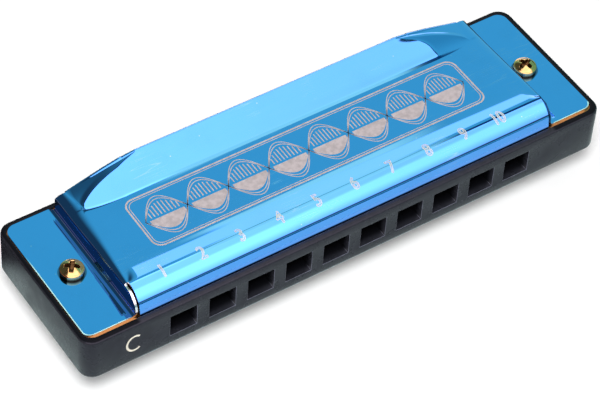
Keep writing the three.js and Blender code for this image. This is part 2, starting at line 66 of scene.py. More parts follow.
COMB_LOW, COMB_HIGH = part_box("comb")
PLATE_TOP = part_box("upper_reed_plate")[1].z
COVER_LOW, COVER_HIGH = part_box("upper_cover")
COMB_TOP = COMB_HIGH.z
COMB_FRONT = COMB_LOW.y
COMB_MIDDLE = (COMB_LOW.z + COMB_HIGH.z) / 2
HOLES = 10


# ---- Settings -----------------------------------------------------------------------------------


def length(name, millimetres, text):
    """A length property whose default is given in millimetres."""
    return FloatProperty(name=name, description=text, default=millimetres * MM, unit="LENGTH", precision=5)


def share(name, default, text):
    """A plain number between nought and a few, such as a roughness or a strength."""
    return FloatProperty(name=name, description=text, default=default, min=0.0, soft_max=4.0, precision=3)


def colour(name, default, text):
    """A linear colour property."""
    return FloatVectorProperty(name=name, description=text, default=default, subtype="COLOR", size=3,
                               min=0.0, max=1.0)


class CoverShape(bpy.types.PropertyGroup):
    """Sizes of the pressed covers: heights above the comb, lengths back from its front face."""

    sheet: length("Sheet", (COMB_TOP - PLATE_TOP) / MM, "Thickness of the sheet metal")
    end_wall: length("End wall", 41.1, "From the middle to the outer face of an end wall")
    bulge_half: length("Bulge half width", 40.45, "From the middle to the end of the bulge")
    band_foot: length("Band foot", 1.28, "Front edge of the cover, behind the comb's front face")
    band_height: length("Band height", 2.1, "Height of the flat band along the front")
    band_lean: length("Band lean", 0.42, "How far the band leans back")
    crest_back: length("Crest", 4.75, "From the comb's front face to the crest of the bulge")
    crest_height: length("Crest height", 4.45, "Height of the crest of the bulge")
    bulge_tail: length("Bulge tail", 5.4, "From the crest to where the bulge has run out into the roof")
    tail_rounding: length("Tail rounding", 2.0, "How far from its ends the bulge's tail grows shorter")
    join_back: length("Join", 5.3, "Where the bulge ends beside the slits at the corners")
    roof_height: length("Roof height", 4.1, "Height of the flat roof")
    scoop_height: length("Scoop height", 6.5, "Height of the raised rear edge")
    scoop_back: length("Scoop crease", 22.0, "From the comb's front face to the crease of the scoop")
    scoop_fillet: length("Scoop fillet", 0.9, "Half length of the soft crease below the scoop")
    scoop_flat_half: length("Scoop flat half width", 26.0, "Half width of the level part of the rear edge")
    scoop_face_half: length("Scoop face half width", 31.4, "Half width of the flat face at the crease")
    scoop_tip_run: length("Scoop tip run", 2.4, "From there to the scoop's side, at the rear edge")
    scoop_corner: length("Scoop corner", 0.6, "Rounding of the scoop's corner at the crease")
    scoop_from_wall: length("Scoop from wall", 2.9, "From the end wall to the scoop's side, at the crease")
    scoop_fall: share("Scoop fall", 0.86, "How far the scoop's ends fall away, as a share of its rise")
    end_slope: share("End slope", 0.022, "Slope of the roof's rear beyond the scoop's face")
    step_run: length("Step run", 0.6, "Widest run of the step beside the scoop")
    scoop_rounding: share("Scoop rounding", 3.4, "Power of the curve of the flat face's sides")
    rear_edge: length("Rear edge", 27.1, "From the comb's front face to the upper edge of the scoop")
    lip_radius: length("Lip radius", 0.5, "Radius of the rolled rear lip")
    shoulder_run: length("Shoulder run", 2.8, "Width of the rounded shoulder in front of the scoop")
    rear_shoulder_run: length("Rear shoulder run", 2.0, "Width of the shoulder beside the scoop")
    front_drop: length("Front shoulder drop", 0.4, "Height of the shoulder at the bulge")
    rear_drop: length("Rear shoulder drop", 1.2, "Height of the shoulder at the rear")
    fold_radius: length("Fold radius", 0.7, "Radius of the fold between end wall and flange")
    wall_rear: length("Wall rear", 27.4, "Rear edge of an end wall")
    flange_front: length("Flange front", 1.73, "Front edge of a flange")
    flange_rear: length("Flange rear", 28.4, "Rear edge of a flange")
    flange_front_radius: length("Flange front radius", 1.2, "Radius of a flange's front corner")
    flange_rear_radius: length("Flange rear radius", 1.8, "Radius of a flange's rear corner")
    crease_reach: length("Crease reach", 0.4, "How far the roof's creases are softened to either side")
    groove_place: length("Groove place", 42.15, "Inner edge of the coined groove beside an end wall")
    groove_width: length("Groove width", 0.9, "Width of the coined groove at its front end")
    bolt_hole: length("Bolt hole", 1.1, "Radius of the bolt's hole in a flange")


class MarkStyle(bpy.types.PropertyGroup):
    """Sizes of the numbers, the key letter and the etched pattern."""

    number_height: length("Number height", 2.45, "Height of the hole numbers along the bulge")
    number_place: length("Number place", 4.5, "Middle of the numbers, back from the comb's front face")
    number_shift: length("Number shift", -1.45, "How far the numbers stand beside their holes")
    number_width: share("Number width", 0.74, "Width of the numbers as a share of their usual width")
    outline: length("Outline", 0.2, "Width of the etched outlines")
    key_height: length("Key letter height", 3.35, "Height of the key letter on the comb")
    key_place: length("Key letter place", -42.25, "Middle of the key letter, along X")
    pattern_half: length("Pattern half width", 31.5, "Half width of the etched pattern on the roof")
    pattern_back: length("Pattern place", 14.6, "Middle of the etched pattern, from the comb's front face")
    pattern_rise: length("Pattern rise", 4.3, "Height of the pattern's waves above its middle")
    relief: length("Relief", 0.02, "Thickness of the etched layer")


class Finish(bpy.types.PropertyGroup):
    """Colours and roughnesses."""

    cover: colour("Cover", (0.06, 0.335, 0.92), "Colour of the dyed mirror finish")
    cover_roughness: share("Cover roughness", 0.035, "Roughness of the mirror finish")
    bare: colour("Bare metal", (0.86, 0.87, 0.89), "Cut edges and worn creases of the covers")
    comb: colour("Comb", (0.017, 0.018, 0.024), "Colour of the moulded comb")
    comb_roughness: share("Comb roughness", 0.27, "Roughness of the moulded comb")
    brass: colour("Brass", (0.34, 0.15, 0.05), "Colour of the reed plates")
    reed: colour("Reed", (0.78, 0.55, 0.22), "Colour of the reeds")
    gold: colour("Fasteners", (0.78, 0.48, 0.19), "Colour of the bolts, nuts and screws")
    # The recess colour is painted shade: a dark brown for the shade inside the heads' cross recesses.
    recess: colour("Recesses", (0.16, 0.085, 0.035), "Colour of the recesses in their heads")
    etched: colour("Etched", (0.47, 0.41, 0.42), "Colour of the etched marks")
    numbers: colour("Numbers", (0.56, 0.6, 0.62), "Colour of the etched numbers")
    key: colour("Key letter", (0.83, 0.78, 0.66), "Colour of the key letter")


class Studio(bpy.types.PropertyGroup):
    """Camera, floor and light."""

    azimuth: FloatProperty(name="Azimuth", description="Angle of the view about Z", unit="ROTATION",
                           default=math.radians(-36.34))
    elevation: FloatProperty(name="Elevation", description="Angle of the view above the floor",
                             unit="ROTATION", default=math.radians(47.78))
    roll: FloatProperty(name="Roll", description="Turn of the camera about its own axis", unit="ROTATION",
                        default=math.radians(4.2))
    distance: length("Distance", 440.5, "From the camera to the point it looks at")
    lens: FloatProperty(name="Lens", description="Focal length for a 36 mm sensor", unit="CAMERA",
                        default=160.08)
    aim_x: length("Aim X", -5.16, "The point that the camera looks at, level with the comb's top")
    aim_y: length("Aim Y", -5.64, "The point that the camera looks at, level with the comb's top")
    floor_half: length("Floor half width", 4000.0, "Half width of the floor")
    key: share("Key light", 0.8, "Level of the light that comes from the lamp")
    ambient: share("Ambient light", 0.32, "Level of the light from all around")
    floor_glow: share("Floor glow", 0.12, "What the camera sees on the floor besides the light it reflects")


# ---- Numbers and curves -------------------------------------------------------------------------


def mix(a, b, t):
    """The value a share t of the way from a to b."""
    return a + (b - a) * t


def ease(t):
    """Rises from 0 to 1, level at both ends: three t squared less two t cubed, t held to 0..1."""
    t = np.clip(t, 0.0, 1.0)
    return t * t * (3.0 - 2.0 * t)


def fillet_ramp(t, reach):
    """Zero before 0 and t after it, joined by a parabola from -reach to reach."""
    inside = (t + reach) ** 2 / (4.0 * reach)
    return np.where(t < -reach, 0.0, np.where(t > reach, t, inside))


def bezier(a, b, c, d, t):
    """Points of a cubic curve with the four control points a to d, one row for each t."""
    t = t[:, None]
    return a * (1 - t) ** 3 + 3 * b * (1 - t) ** 2 * t + 3 * c * (1 - t) * t ** 2 + d * t ** 3


def steps_along(path):
    """Distance along a path at each of its points."""
    return np.concatenate([[0.0], np.cumsum(np.linalg.norm(np.diff(path, axis=0), axis=1))])


def soften(path, reach, count):
    """The path with its corners rounded: evenly spaced points, each the mean of the path within
    reach of it along its length. The ends stay where they are."""
    steps = steps_along(path)
    along = np.linspace(0.0, steps[-1], count)
    window = np.minimum(reach, np.minimum(along, steps[-1] - along))
    spots = np.clip(along[:, None] + np.linspace(-1, 1, 15)[None, :] * window[:, None], 0.0, steps[-1])
    return np.stack([np.interp(spots, steps, path[:, k]).mean(1) for k in range(path.shape[1])], 1)


# ---- Meshes -------------------------------------------------------------------------------------


def grid_faces(rows, columns, present=None):
    """Quads between neighbouring points of a grid with that many rows and columns, row by row, and
    only where all four corners are present."""
    index = np.arange(rows * columns).reshape(rows, columns)
    quads = np.stack([index[:-1, :-1], index[:-1, 1:], index[1:, 1:], index[1:, :-1]], -1)
    if present is not None:
        return quads[present[:-1, :-1] & present[:-1, 1:] & present[1:, 1:] & present[1:, :-1]]
    return quads.reshape(-1, 4)


def linked(name, data):
    """A new object in the scene."""
    item = bpy.data.objects.new(name, data)
    bpy.context.scene.collection.objects.link(item)
    return item


def new_piece(name, mesh, materials, body=CASE):
    """A smooth mesh object with those materials, riding on a body."""
    mesh.materials.clear()
    for material in materials:
        mesh.materials.append(material)
    mesh.polygons.foreach_set("use_smooth", np.ones(len(mesh.polygons), bool))
    piece = linked(name, mesh)
    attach(piece, body)
    return piece


def array_piece(name, points, faces, materials, material_index=None, sharp=None):
    """A piece made from arrays, smooth except along edges sharper than the angle sharp."""
    mesh = bpy.data.meshes.new(name)
    mesh.from_pydata(np.asarray(points, float).tolist(), [], np.asarray(faces).tolist())
    mesh.validate()
    piece = new_piece(name, mesh, materials)
    if material_index is not None:
        mesh.polygons.foreach_set("material_index", np.asarray(material_index, np.int32))
    if sharp is not None:
        mesh.set_sharp_from_angle(angle=sharp)
    return piece


def applied_mesh(piece):
    """The mesh that a piece's modifiers, or its curve, make."""
    bpy.context.view_layer.update()
    graph = bpy.context.evaluated_depsgraph_get()
    return bpy.data.meshes.new_from_object(piece.evaluated_get(graph), depsgraph=graph)


def apply_modifiers(piece):
    """Replaces the piece's mesh by the one its modifiers make, and removes them."""
    mesh = applied_mesh(piece)
    piece.modifiers.clear()
    piece.data = mesh


def shell(outer, inner, quads):
    """Two layers of points with the same quads, closed by a strip along every free edge. Returns
    points, faces and, for each face, 0 on the outer layer, 1 on a strip and 2 on the inner layer."""
    count = len(outer)
    edges = np.concatenate([quads[:, [k, (k + 1) % 4]] for k in range(4)])
    free = edges[~np.isin(edges[:, 0] * count + edges[:, 1], edges[:, 1] * count + edges[:, 0])]
    rim = np.stack([free[:, 1], free[:, 0], free[:, 0] + count, free[:, 1] + count], 1)
    kinds = np.repeat([0, 1, 2], [len(quads), len(rim), len(quads)])
    return np.concatenate([outer, inner]), np.concatenate([quads, rim, quads[:, ::-1] + count]), kinds


def closed_sheet(outer, quads, thickness, floor):
    """A sheet of that thickness under a grid of outer points: each point again, moved against its
    averaged normal but never below the floor."""
    across = np.cross(outer[quads[:, 2]] - outer[quads[:, 0]], outer[quads[:, 3]] - outer[quads[:, 1]])
    across /= np.linalg.norm(across, axis=1, keepdims=True)
    normals = np.zeros_like(outer)
    for corner in range(4):
        np.add.at(normals, quads[:, corner], across)
    used = np.unique(quads)
    place = np.full(len(outer), -1)
    place[used] = np.arange(len(used))
    normals = normals[used] / np.linalg.norm(normals[used], axis=1, keepdims=True)
    inner = outer[used] - thickness * normals
    inner[:, 2] = np.maximum(inner[:, 2], floor)
    return shell(outer[used], inner, place[quads])


def strips(one, other, closed=False):
    """Bands of quads between pairs of plane paths, each array being paths by points by two. Returns
    plane points and quads."""
    here = 2 * np.arange(one.shape[0] * one.shape[1]).reshape(one.shape[:2])
    after = np.roll(here, -1, axis=1)
    if not closed:
        here, after = here[:, :-1], after[:, :-1]
    quads = np.stack([here, after, after + 1, here + 1], -1)
    return np.stack([one, other], 2).reshape(-1, 2), quads.reshape(-1, 4)


def ribbons(paths, width, closed=False):
    """Flat ribbons along plane paths: each point twice, half the width to either side across the
    path's direction."""
    along = np.roll(paths, -1, axis=1) - np.roll(paths, 1, axis=1) if closed else np.gradient(paths, axis=1)
    along /= np.linalg.norm(along, axis=2, keepdims=True)
    side = np.stack([-along[..., 1], along[..., 0]], -1) * width / 2
    return strips(paths - side, paths + side, closed)


def joined(parts):
    """Several pairs of points and quads as one pair."""
    shifts = np.cumsum([0] + [len(points) for points, _ in parts])
    return (np.concatenate([points for points, _ in parts]),
            np.concatenate([quads + shift for (_, quads), shift in zip(parts, shifts)]))


# ---- Cover --------------------------------------------------------------------------------------


def roof_line(shape, back, across=0.0):
    """Height of the cover without the scoop. Behind the crest it is the roof plus the crest's excess
    times (1 - t)^4 (1 + 4t), where t runs from 0 at the crest to 1 at the end of the bulge's tail. The
    tail is shorter at the ends of the bulge."""
    tail = shape.bulge_tail * mix(1.0, 0.2, ease((across - shape.bulge_half) / shape.tail_rounding + 1.0))
    t = np.clip((back - shape.crest_back) / tail, 0.0, 1.0)
    return shape.roof_height + (shape.crest_height - shape.roof_height) * (1 - t) ** 4 * (1 + 4 * t)


def front_line(shape, count):
    """Distance back and height of the cover's front outline, from the foot of the band to the crest:
    a straight band that leans back, then a curve that reaches the crest level."""
    foot = np.array([shape.band_foot, -shape.sheet])
    start = np.array([shape.band_foot + shape.band_lean, shape.band_height])
    crest = np.array([shape.crest_back, shape.crest_height])
    steep = start + np.array([0.3 * MM, 0.34 * (shape.crest_height - shape.band_height)])
    curve = bezier(start, steep, crest - np.array([1.55 * MM, 0.0]), crest, np.linspace(0, 1, 60))
    return soften(np.concatenate([foot[None], curve]), 0.12 * MM, count)


def scoop_share(shape, back):
    """How far up the scoop, by an even slope after a soft crease: 0 before it and 1 at the upper edge."""
    return fillet_ramp(back - shape.scoop_back, shape.scoop_fillet) / (shape.rear_edge - shape.scoop_back)


def scoop_sides(shape, back):
    """Half widths of the scoop's flat face, of the whole scoop and of the foot of the step beside it.
    The first two narrow from the crease to the raised edge by the share of the climb to a power, and
    the whole has a rounded corner at the crease."""
    part = scoop_share(shape, back)
    face = mix(shape.scoop_face_half, shape.scoop_flat_half, part ** shape.scoop_rounding)
    side = mix(shape.end_wall - shape.scoop_from_wall, shape.scoop_flat_half + shape.scoop_tip_run,
               part ** (shape.scoop_rounding - 0.8))
    side = side - shape.scoop_corner * np.clip(1.0 - part / 0.2, 0.0, 1.0) ** 2
    return face, side, side + shape.step_run * (1.0 - part) + 0.15 * MM


def ramp_rise(shape, across):
    """Rise of the straight ramp from the top of the end wall up to the level part of the rear edge."""
    run = shape.end_wall - shape.rear_shoulder_run - shape.scoop_flat_half
    return (shape.scoop_height - shape.roof_height) * np.clip(
        1.0 - (across - shape.scoop_flat_half) / run, 0.0, 1.0)


def scoop_rise(shape, back, ends):
    """Rise of the scoop above the roof: an even slope after a soft crease, less a fall by ends, 0 at
    the flat face and 1 at the scoop's side. At the rear it brings the side down to the ramp."""
    part = scoop_share(shape, back)
    climb = shape.scoop_height - shape.roof_height
    tip_fall = climb - ramp_rise(shape, shape.scoop_flat_half + shape.scoop_tip_run)
    fall = shape.scoop_fall * climb * part * (1.0 - part) + tip_fall * part ** 2
    return climb * part - fall * np.clip(fillet_ramp(ends, 0.02), 0.0, 1.0)


def beside_rise(shape, across, back):
    """Rise beside the scoop, which climbs towards the ramp at the rear edge and never stands above
    the scoop's own side."""
    rear = 1.0 - (1.0 - scoop_share(shape, back)) ** 2
    return np.minimum(ramp_rise(shape, across) * rear, scoop_rise(shape, back, 1.0))


def roof_surface(shape, across, back):
    """Height of the roof at places across and back: the scoop's rise out to its side, then down a short
    step to what lies beside it. The rear of the roof falls evenly from the scoop's face to its ends."""
    face, side, foot = scoop_sides(shape, back)
    on = scoop_rise(shape, back, (across - face) / (side - face))
    rise = mix(on, beside_rise(shape, across, back), ease((across - side) / (foot - side)))
    fall = shape.end_slope * fillet_ramp(across - shape.scoop_face_half, 0.2 * MM)
    return roof_line(shape, back, across) + rise - fall * ease((back - shape.scoop_back + 8 * MM) / (8 * MM))


def soft_roof(shape, across, back, end):
    """The roof's height averaged over a small square of places round each one, so that its creases
    are soft. The square shrinks to nothing towards the join, the rear edge and the shoulder."""
    reach = np.minimum(shape.crease_reach, (shape.rear_edge - back) / 2)
    reach = np.maximum(np.minimum(reach, (back - shape.join_back) / 6), 0.0)
    aside = np.clip(end - across, 0.0, reach)
    heights = [roof_surface(shape, np.abs(across + i * aside), back + j * reach)
               for i in np.linspace(-1, 1, 5) for j in np.linspace(-1, 1, 5)]
    return np.mean(heights, 0)


def groove_depth(shape, across, back):
    """Depth of the coined groove beside an end wall. It is thin behind the bolt, from 18.3 to 25.8 mm
    behind the comb's front, and in front of the bolt it widens from 13.4 to 3 mm. It is deepest at
    four fifths of its width."""
    thin = 0.22 * ease((back - 18.3 * MM) / (0.4 * MM)) * ease((25.8 * MM - back) / (0.4 * MM))
    wide = mix(0.15, 1.0, np.clip((13.3 * MM - back) / (10.3 * MM), 0.0, 1.0))
    wide = wide * ease((13.4 * MM - back) / (0.4 * MM)) * ease((back - 2.8 * MM) / (0.3 * MM))
    width = shape.groove_width * (thin + wide) + 1e-9
    part = (across - shape.groove_place) / width
    return 0.25 * width * np.clip(np.minimum(part / 0.8, (1.0 - part) / 0.2), 0.0, 1.0)


def shoulder_width(shape, back):
    """Width of the rounded shoulder: narrow at the bulge, widest at the scoop's crease."""
    along = np.clip((back - shape.join_back) / (shape.scoop_back - shape.join_back), 0.0, 1.0)
    run = mix(shape.end_wall - shape.bulge_half, shape.shoulder_run, along)
    return mix(run, shape.rear_shoulder_run, scoop_share(shape, back))


def wall_top(shape, back):
    """Height of the top of an end wall, lower towards the rear."""
    along = np.clip((back - shape.join_back) / (shape.rear_edge - shape.join_back), 0.0, 1.0)
    return shape.roof_height - mix(shape.front_drop, shape.rear_drop, along)


def wall_front(shape, height):
    """Front edge of an end wall at a height, a little inside the outline of the bulge."""
    line = front_line(shape, 200)
    inset = 0.35 * MM
    reached = np.minimum(height + inset, shape.crest_height - 0.01 * MM)
    return np.interp(reached, line[:, 1], line[:, 0]) + inset / 2


def cover_half_columns(shape, back):
    """Outer points of the right half of the cover for each nominal distance back, which runs from the
    join to the rear edge: from the middle across the roof, down the shoulder and the end wall, round
    the fold and out over the flange. Returns an array of rows by columns by three and how many columns
    belong to the roof."""
    back = back[:, None]
    strips_across = []

    def add(x, y, z):
        strips_across.append(np.stack(np.broadcast_arrays(x, y, z), -1))

    def swept(front, rear):
        return mix(front, rear, (back - shape.join_back) / (shape.rear_edge - shape.join_back))

    # the roof: the scoop's face, its side, the step down beside it and what is left to the shoulder
    face, side, foot = scoop_sides(shape, back)
    end = shape.end_wall - shoulder_width(shape, back)
    foot = np.minimum(foot, end - 0.1 * MM)
    ends = np.concatenate([np.linspace(-0.1, 0.1, 9), np.linspace(0.1, 1.0, 11)[1:-1]])[None, :]
    t = np.linspace(0.0, 1.0, 13)[None, :-1]
    for x in (mix(face, side, -0.1) * np.linspace(0.0, 1.0, 9)[None, :-1], mix(face, side, ends),
              mix(side, foot, t), mix(foot, end, t)):
        add(x, back, soft_roof(shape, x, back, end))
    roof_columns = sum(strip.shape[1] for strip in strips_across) + 1

    # the rounded shoulder
    angle = np.linspace(0.0, QUARTER, 13)[None, :-1]
    top, wall = soft_roof(shape, end, back, end), wall_top(shape, back)
    front = mix(shape.join_back, wall_front(shape, wall), ease((angle - 1.2) / 0.37))
    rear = mix(shape.rear_edge, shape.wall_rear, angle / QUARTER)
    add(shape.end_wall - (shape.end_wall - end) * (1 - np.sin(angle)), swept(front, rear),
        wall + (top - wall) * np.cos(angle))

    # the end wall
    t = np.linspace(0.0, 1.0, 9)[None, :-1]
    first_wall = wall_top(shape, np.array(shape.join_back))
    add(shape.end_wall, swept(wall_front(shape, mix(first_wall, shape.fold_radius, t)), shape.wall_rear),
        mix(wall, shape.fold_radius, t))

    # the fold
    angle = np.linspace(0.0, QUARTER, 10)[None, :-1]
    front = mix(wall_front(shape, shape.fold_radius), shape.flange_front, angle / QUARTER)
    rear = mix(shape.wall_rear, shape.flange_rear, angle / QUARTER)
    add(shape.end_wall + shape.fold_radius * (1 - np.cos(angle)), swept(front, rear),
        shape.fold_radius * (1 - np.sin(angle)))

    # the flange with its groove, then its rounded corners
    outer = COVER_HIGH.x
    past_groove = shape.groove_place + 1.1 * shape.groove_width
    x = np.concatenate([np.arange(shape.end_wall + shape.fold_radius, past_groove, 0.045 * MM),
                        np.linspace(past_groove, outer - shape.flange_rear_radius, 8)[:-1]])[None, :]
    y = swept(shape.flange_front, shape.flange_rear)
    add(x, y, -groove_depth(shape, x, y))
    angle = np.linspace(0.0, QUARTER, 13)[None, :]
    curve = 1 - np.cos(angle)
    add(outer - shape.flange_rear_radius * (1 - np.sin(angle)),
        swept(shape.flange_front + shape.flange_front_radius * curve,
              shape.flange_rear - shape.flange_rear_radius * curve), 0.0)
    return np.concatenate(strips_across, 1), roof_columns


def lip_rows(shape, edge, before, count):
    """Rows of a lip rolled down behind a row of edge points: a circular arc in the Y-Z plane that
    leaves the sheet at its own slope and ends pointing straight down."""
    slope = np.arctan2(edge[:, 2] - before[:, 2], edge[:, 1] - before[:, 1])[None, :]
    part = np.linspace(0.0, 1.0, count + 1)[1:, None]
    angle = slope - part * (slope + QUARTER)
    back = edge[None, :, 1] + shape.lip_radius * (np.sin(slope) - np.sin(angle))
    height = edge[None, :, 2] + shape.lip_radius * (np.cos(angle) - np.cos(slope))
    return np.stack(np.broadcast_arrays(edge[None, :, 0], back, height), -1)


def cover_grid(shape):
    """Outer points of the upper cover, rows by columns by three, and which of them exist: the bulge
    and the rear lip have no sheet outside the roof."""
    tail_end = shape.crest_back + shape.bulge_tail
    crease = (shape.scoop_back - shape.scoop_fillet, shape.scoop_back + shape.scoop_fillet)
    half, roof_columns = cover_half_columns(shape, np.concatenate([
        np.linspace(shape.join_back, tail_end, 26)[:-1], np.linspace(tail_end, crease[0], 7)[:-1],
        np.linspace(*crease, 13)[:-1], mix(crease[1], shape.rear_edge, np.sin(np.linspace(0, QUARTER, 19)))]))
    main = np.concatenate([half[:, :0:-1] * np.array([-1.0, 1.0, 1.0]), half], 1)
    roof = np.abs(np.arange(main.shape[1]) - half.shape[1] + 1) < roof_columns

    line = front_line(shape, 46)
    beyond = np.linspace(shape.crest_back, shape.join_back, 5)[1:-1]
    across = main[None, 0, :, 0]
    heights = np.concatenate([line[:, 1:] + 0 * across, roof_line(shape, beyond[:, None], np.abs(across))])
    places = np.concatenate([line[:, 0], beyond])[:, None]
    bulge = np.stack(np.broadcast_arrays(across, places, heights), -1)
    lip = lip_rows(shape, main[-1], main[-2], 8)
    points = np.concatenate([bulge, main, lip])
    present = np.ones(points.shape[:2], bool)
    present[:len(bulge)] = roof
    present[-len(lip):] = roof
    return points, present


def to_frame(points):
    """From distances back from the comb's front face and heights above its top to the frame."""
    return points + np.array([0.0, COMB_FRONT, COMB_TOP])


def bolt_hole_cut(piece, centre, radius):
    """Cuts an upright round hole through a piece."""
    bpy.ops.mesh.primitive_cylinder_add(vertices=48, radius=radius, depth=4 * MM, location=centre)
    cutter = bpy.context.object
    cut = piece.modifiers.new("bolt hole", "BOOLEAN")
    cut.operation = "DIFFERENCE"
    cut.solver = "EXACT"
    cut.object = cutter
    apply_modifiers(piece)
    bpy.data.objects.remove(cutter)


def cover_piece(name, shape, materials, turned_over):
    """A whole cover as a closed sheet, upright or turned over about the Y axis."""
    points, present = cover_grid(shape)
    quads = grid_faces(*present.shape, present)
    points, faces, kinds = closed_sheet(points.reshape(-1, 3), quads, shape.sheet, -shape.sheet)
    points = to_frame(points)
    level = COMB_TOP
    if turned_over:
        points = points * [-1, 1, -1] + [0, 0, 2 * COMB_MIDDLE]
        level = 2 * COMB_MIDDLE - COMB_TOP
    piece = array_piece(name, points, faces, materials, material_index=kinds)
    for side in ("left", "right"):
        low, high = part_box("cover_bolt_" + side)
        bolt_hole_cut(piece, ((low.x + high.x) / 2, (low.y + high.y) / 2, level), shape.bolt_hole)
    piece.data.set_sharp_from_angle(angle=math.radians(50))
    return piece


# ---- Marks --------------------------------------------------------------------------------------


def evenly(loop, count):
    """A closed loop of plane points again, with that many points spaced evenly along it."""
    closed = np.concatenate([loop, loop[:1]])
    steps = steps_along(closed)
    along = np.linspace(0.0, steps[-1], count, endpoint=False)
    return np.stack([np.interp(along, steps, closed[:, k]) for k in range(2)], 1)


def outline_loops(figures, height, count):
    """The outlines of a line of figures as closed loops of that many points, spaced evenly along each
    outline, centred on the origin and scaled to the height. Returns an array of loops by points by two."""
    curve = bpy.data.curves.new("figures", "FONT")
    curve.body = figures
    curve.fill_mode = "NONE"
    text = linked("figures", curve)
    mesh = applied_mesh(text)
    points = np.array([vertex.co[:2] for vertex in mesh.vertices])
    edges = np.array([edge.vertices[:] for edge in mesh.edges])
    closing = edges[np.abs(edges[:, 0] - edges[:, 1]) > 1]
    closing.sort(axis=1)
    loops = [evenly(points[first:last + 1], count) for first, last in closing]
    bpy.data.objects.remove(text)
    bpy.data.curves.remove(curve)
    low, high = points.min(0), points.max(0)
    return (np.array(loops) - (low + high) / 2) * height / (high[1] - low[1])


def on_cover(shape, plane, origin_back):
    """Carries plane points onto the upper cover: the first coordinate runs along X, the second along
    the cover's outline from the point at that distance back. Returns points and normals."""
    back = np.linspace(shape.crest_back, shape.scoop_back - shape.scoop_fillet, 800)[1:]
    line = np.concatenate([front_line(shape, 600), np.stack([back, roof_line(shape, back)], 1)])
    steps = steps_along(line)
    along = plane[:, 1] + np.interp(origin_back, line[:, 0], steps)
    slope = np.gradient(line, steps, axis=0)
    back, height = (np.interp(along, steps, line[:, k]) for k in range(2))
    across, up = (np.interp(along, steps, slope[:, k]) for k in range(2))
    size = np.hypot(across, up)
    points = to_frame(np.stack([plane[:, 0], back, height], 1))
    return points, np.stack([0 * across, -up / size, across / size], 1)


def raised_layer(name, points, normals, quads, thickness, material):
    """A thin closed layer whose outside stands half its thickness proud of a surface. Its inside is
    sunk by the whole thickness."""
    points, faces, _ = shell(points + thickness / 2 * normals, points - thickness * normals, quads)
    return array_piece(name, points, faces, [material], sharp=math.radians(40))


def rounded_loop(wide, high, corner, count):
    """A rounded rectangle as an evenly spaced closed loop."""
    angle = np.linspace(0, 2 * math.pi, 400, endpoint=False)
    sides = [np.sign(part) * (half - corner) + corner * part
             for part, half in ((np.cos(angle), wide), (np.sin(angle), high))]
    return evenly(np.stack(sides, 1), count)


def chain_pattern(half, rise, links):
    """A generic chain of lenses as plane points and quads: two interlaced waves with echoes inside
    them, upright hatching in the upper half of each lens, a solid lower half, and a double rail round
    the chain. The waves are sines with a node at every lens end."""
    def wave(x):
        return np.sin((x + half) / (2 * half) * links * math.pi)

    inside = 0.72 * rise  # height of the hatching and of the solid halves at a lens's middle
    x = np.linspace(-half, half, 40 * links + 1)
    parts = []
    for size in (1.0, 0.86):
        strands = [np.stack([x, sign * rise * size * wave(x)], 1) for sign in (-1, 1)]
        parts.append(ribbons(np.array(strands), 0.16 * MM))
    hatch = np.linspace(-half, half, 12 * links + 1)
    hatch = hatch[inside * np.abs(wave(hatch)) > 0.9 * MM][:, None]
    along = np.linspace(0.0, 1.0, 4)[None, :]
    heights = mix(0.35 * MM, inside * np.abs(wave(hatch)), along)
    parts.append(ribbons(np.stack([hatch + 0 * along, heights], -1), 0.2 * MM))
    within = np.linspace(0.09, 0.91, 33)[None, :]
    across = -half + (np.arange(links)[:, None] + within) * 2 * half / links
    depth = np.maximum(inside * np.sin(within * math.pi), 0.3 * MM) + 0 * across
    parts.append(strips(np.stack([across, -depth], -1), np.stack([across, -0.1 * MM + 0 * across], -1)))
    for margin, width in ((0.75 * MM, 0.14 * MM), (1.2 * MM, 0.3 * MM)):
        loop = rounded_loop(half + margin, rise + margin, 1.1 * MM + margin / 2, 700)
        parts.append(ribbons(loop[None], width, closed=True))
    return joined(parts)


# ---- Fasteners ----------------------------------------------------------------------------------


def disc_grid(count):
    """A square grid of count by count points pressed into a unit disc: x times the root of 1 less half
    y squared, and the same the other way round. Returns rows by columns by two and the square grid."""
    line = np.linspace(-1.0, 1.0, count)
    x, y = np.meshgrid(line, line)
    return np.stack([x * np.sqrt(1 - y ** 2 / 2), y * np.sqrt(1 - x ** 2 / 2)], -1), x, y


def disc_rim(count):
    """Indices of the points round the outside of such a grid, in turn, anticlockwise."""
    index = np.arange(count * count).reshape(count, count)
    return np.concatenate([index[0, :-1], index[:-1, -1], index[-1, :0:-1], index[:0:-1, 0]])


def turned_piece(rings, cap_heights, count):
    """A closed solid from a stack of rings and two capping discs. Rings is an array of rings by rim
    points by three, from the upper disc's rim down to the lower one's; cap_heights gives the heights of
    the upper disc's points above its rim. Returns points and quads."""
    disc = disc_grid(count)[0].reshape(-1, 2)
    rim = disc_rim(count)
    upper, lower = (disc * np.linalg.norm(ring[0, :2]) for ring in (rings[0], rings[-1]))
    top = np.column_stack([upper, rings[0, 0, 2] + cap_heights.ravel()])
    bottom = np.column_stack([lower, np.full(len(lower), rings[-1, :, 2].mean())])
    bottom[rim] = rings[-1]
    between = rings[1:-1].reshape(-1, 3)
    last = len(top) + len(between)
    index = np.concatenate([rim[None], len(top) + np.arange(len(between)).reshape(-1, len(rim)),
                            last + rim[None]])
    after = np.roll(index, -1, axis=1)
    walls = np.stack([index[:-1], index[1:], after[1:], after[:-1]], -1).reshape(-1, 4)
    caps = grid_faces(count, count)
    return np.concatenate([top, between, bottom]), np.concatenate([caps, walls, caps[:, ::-1] + last])


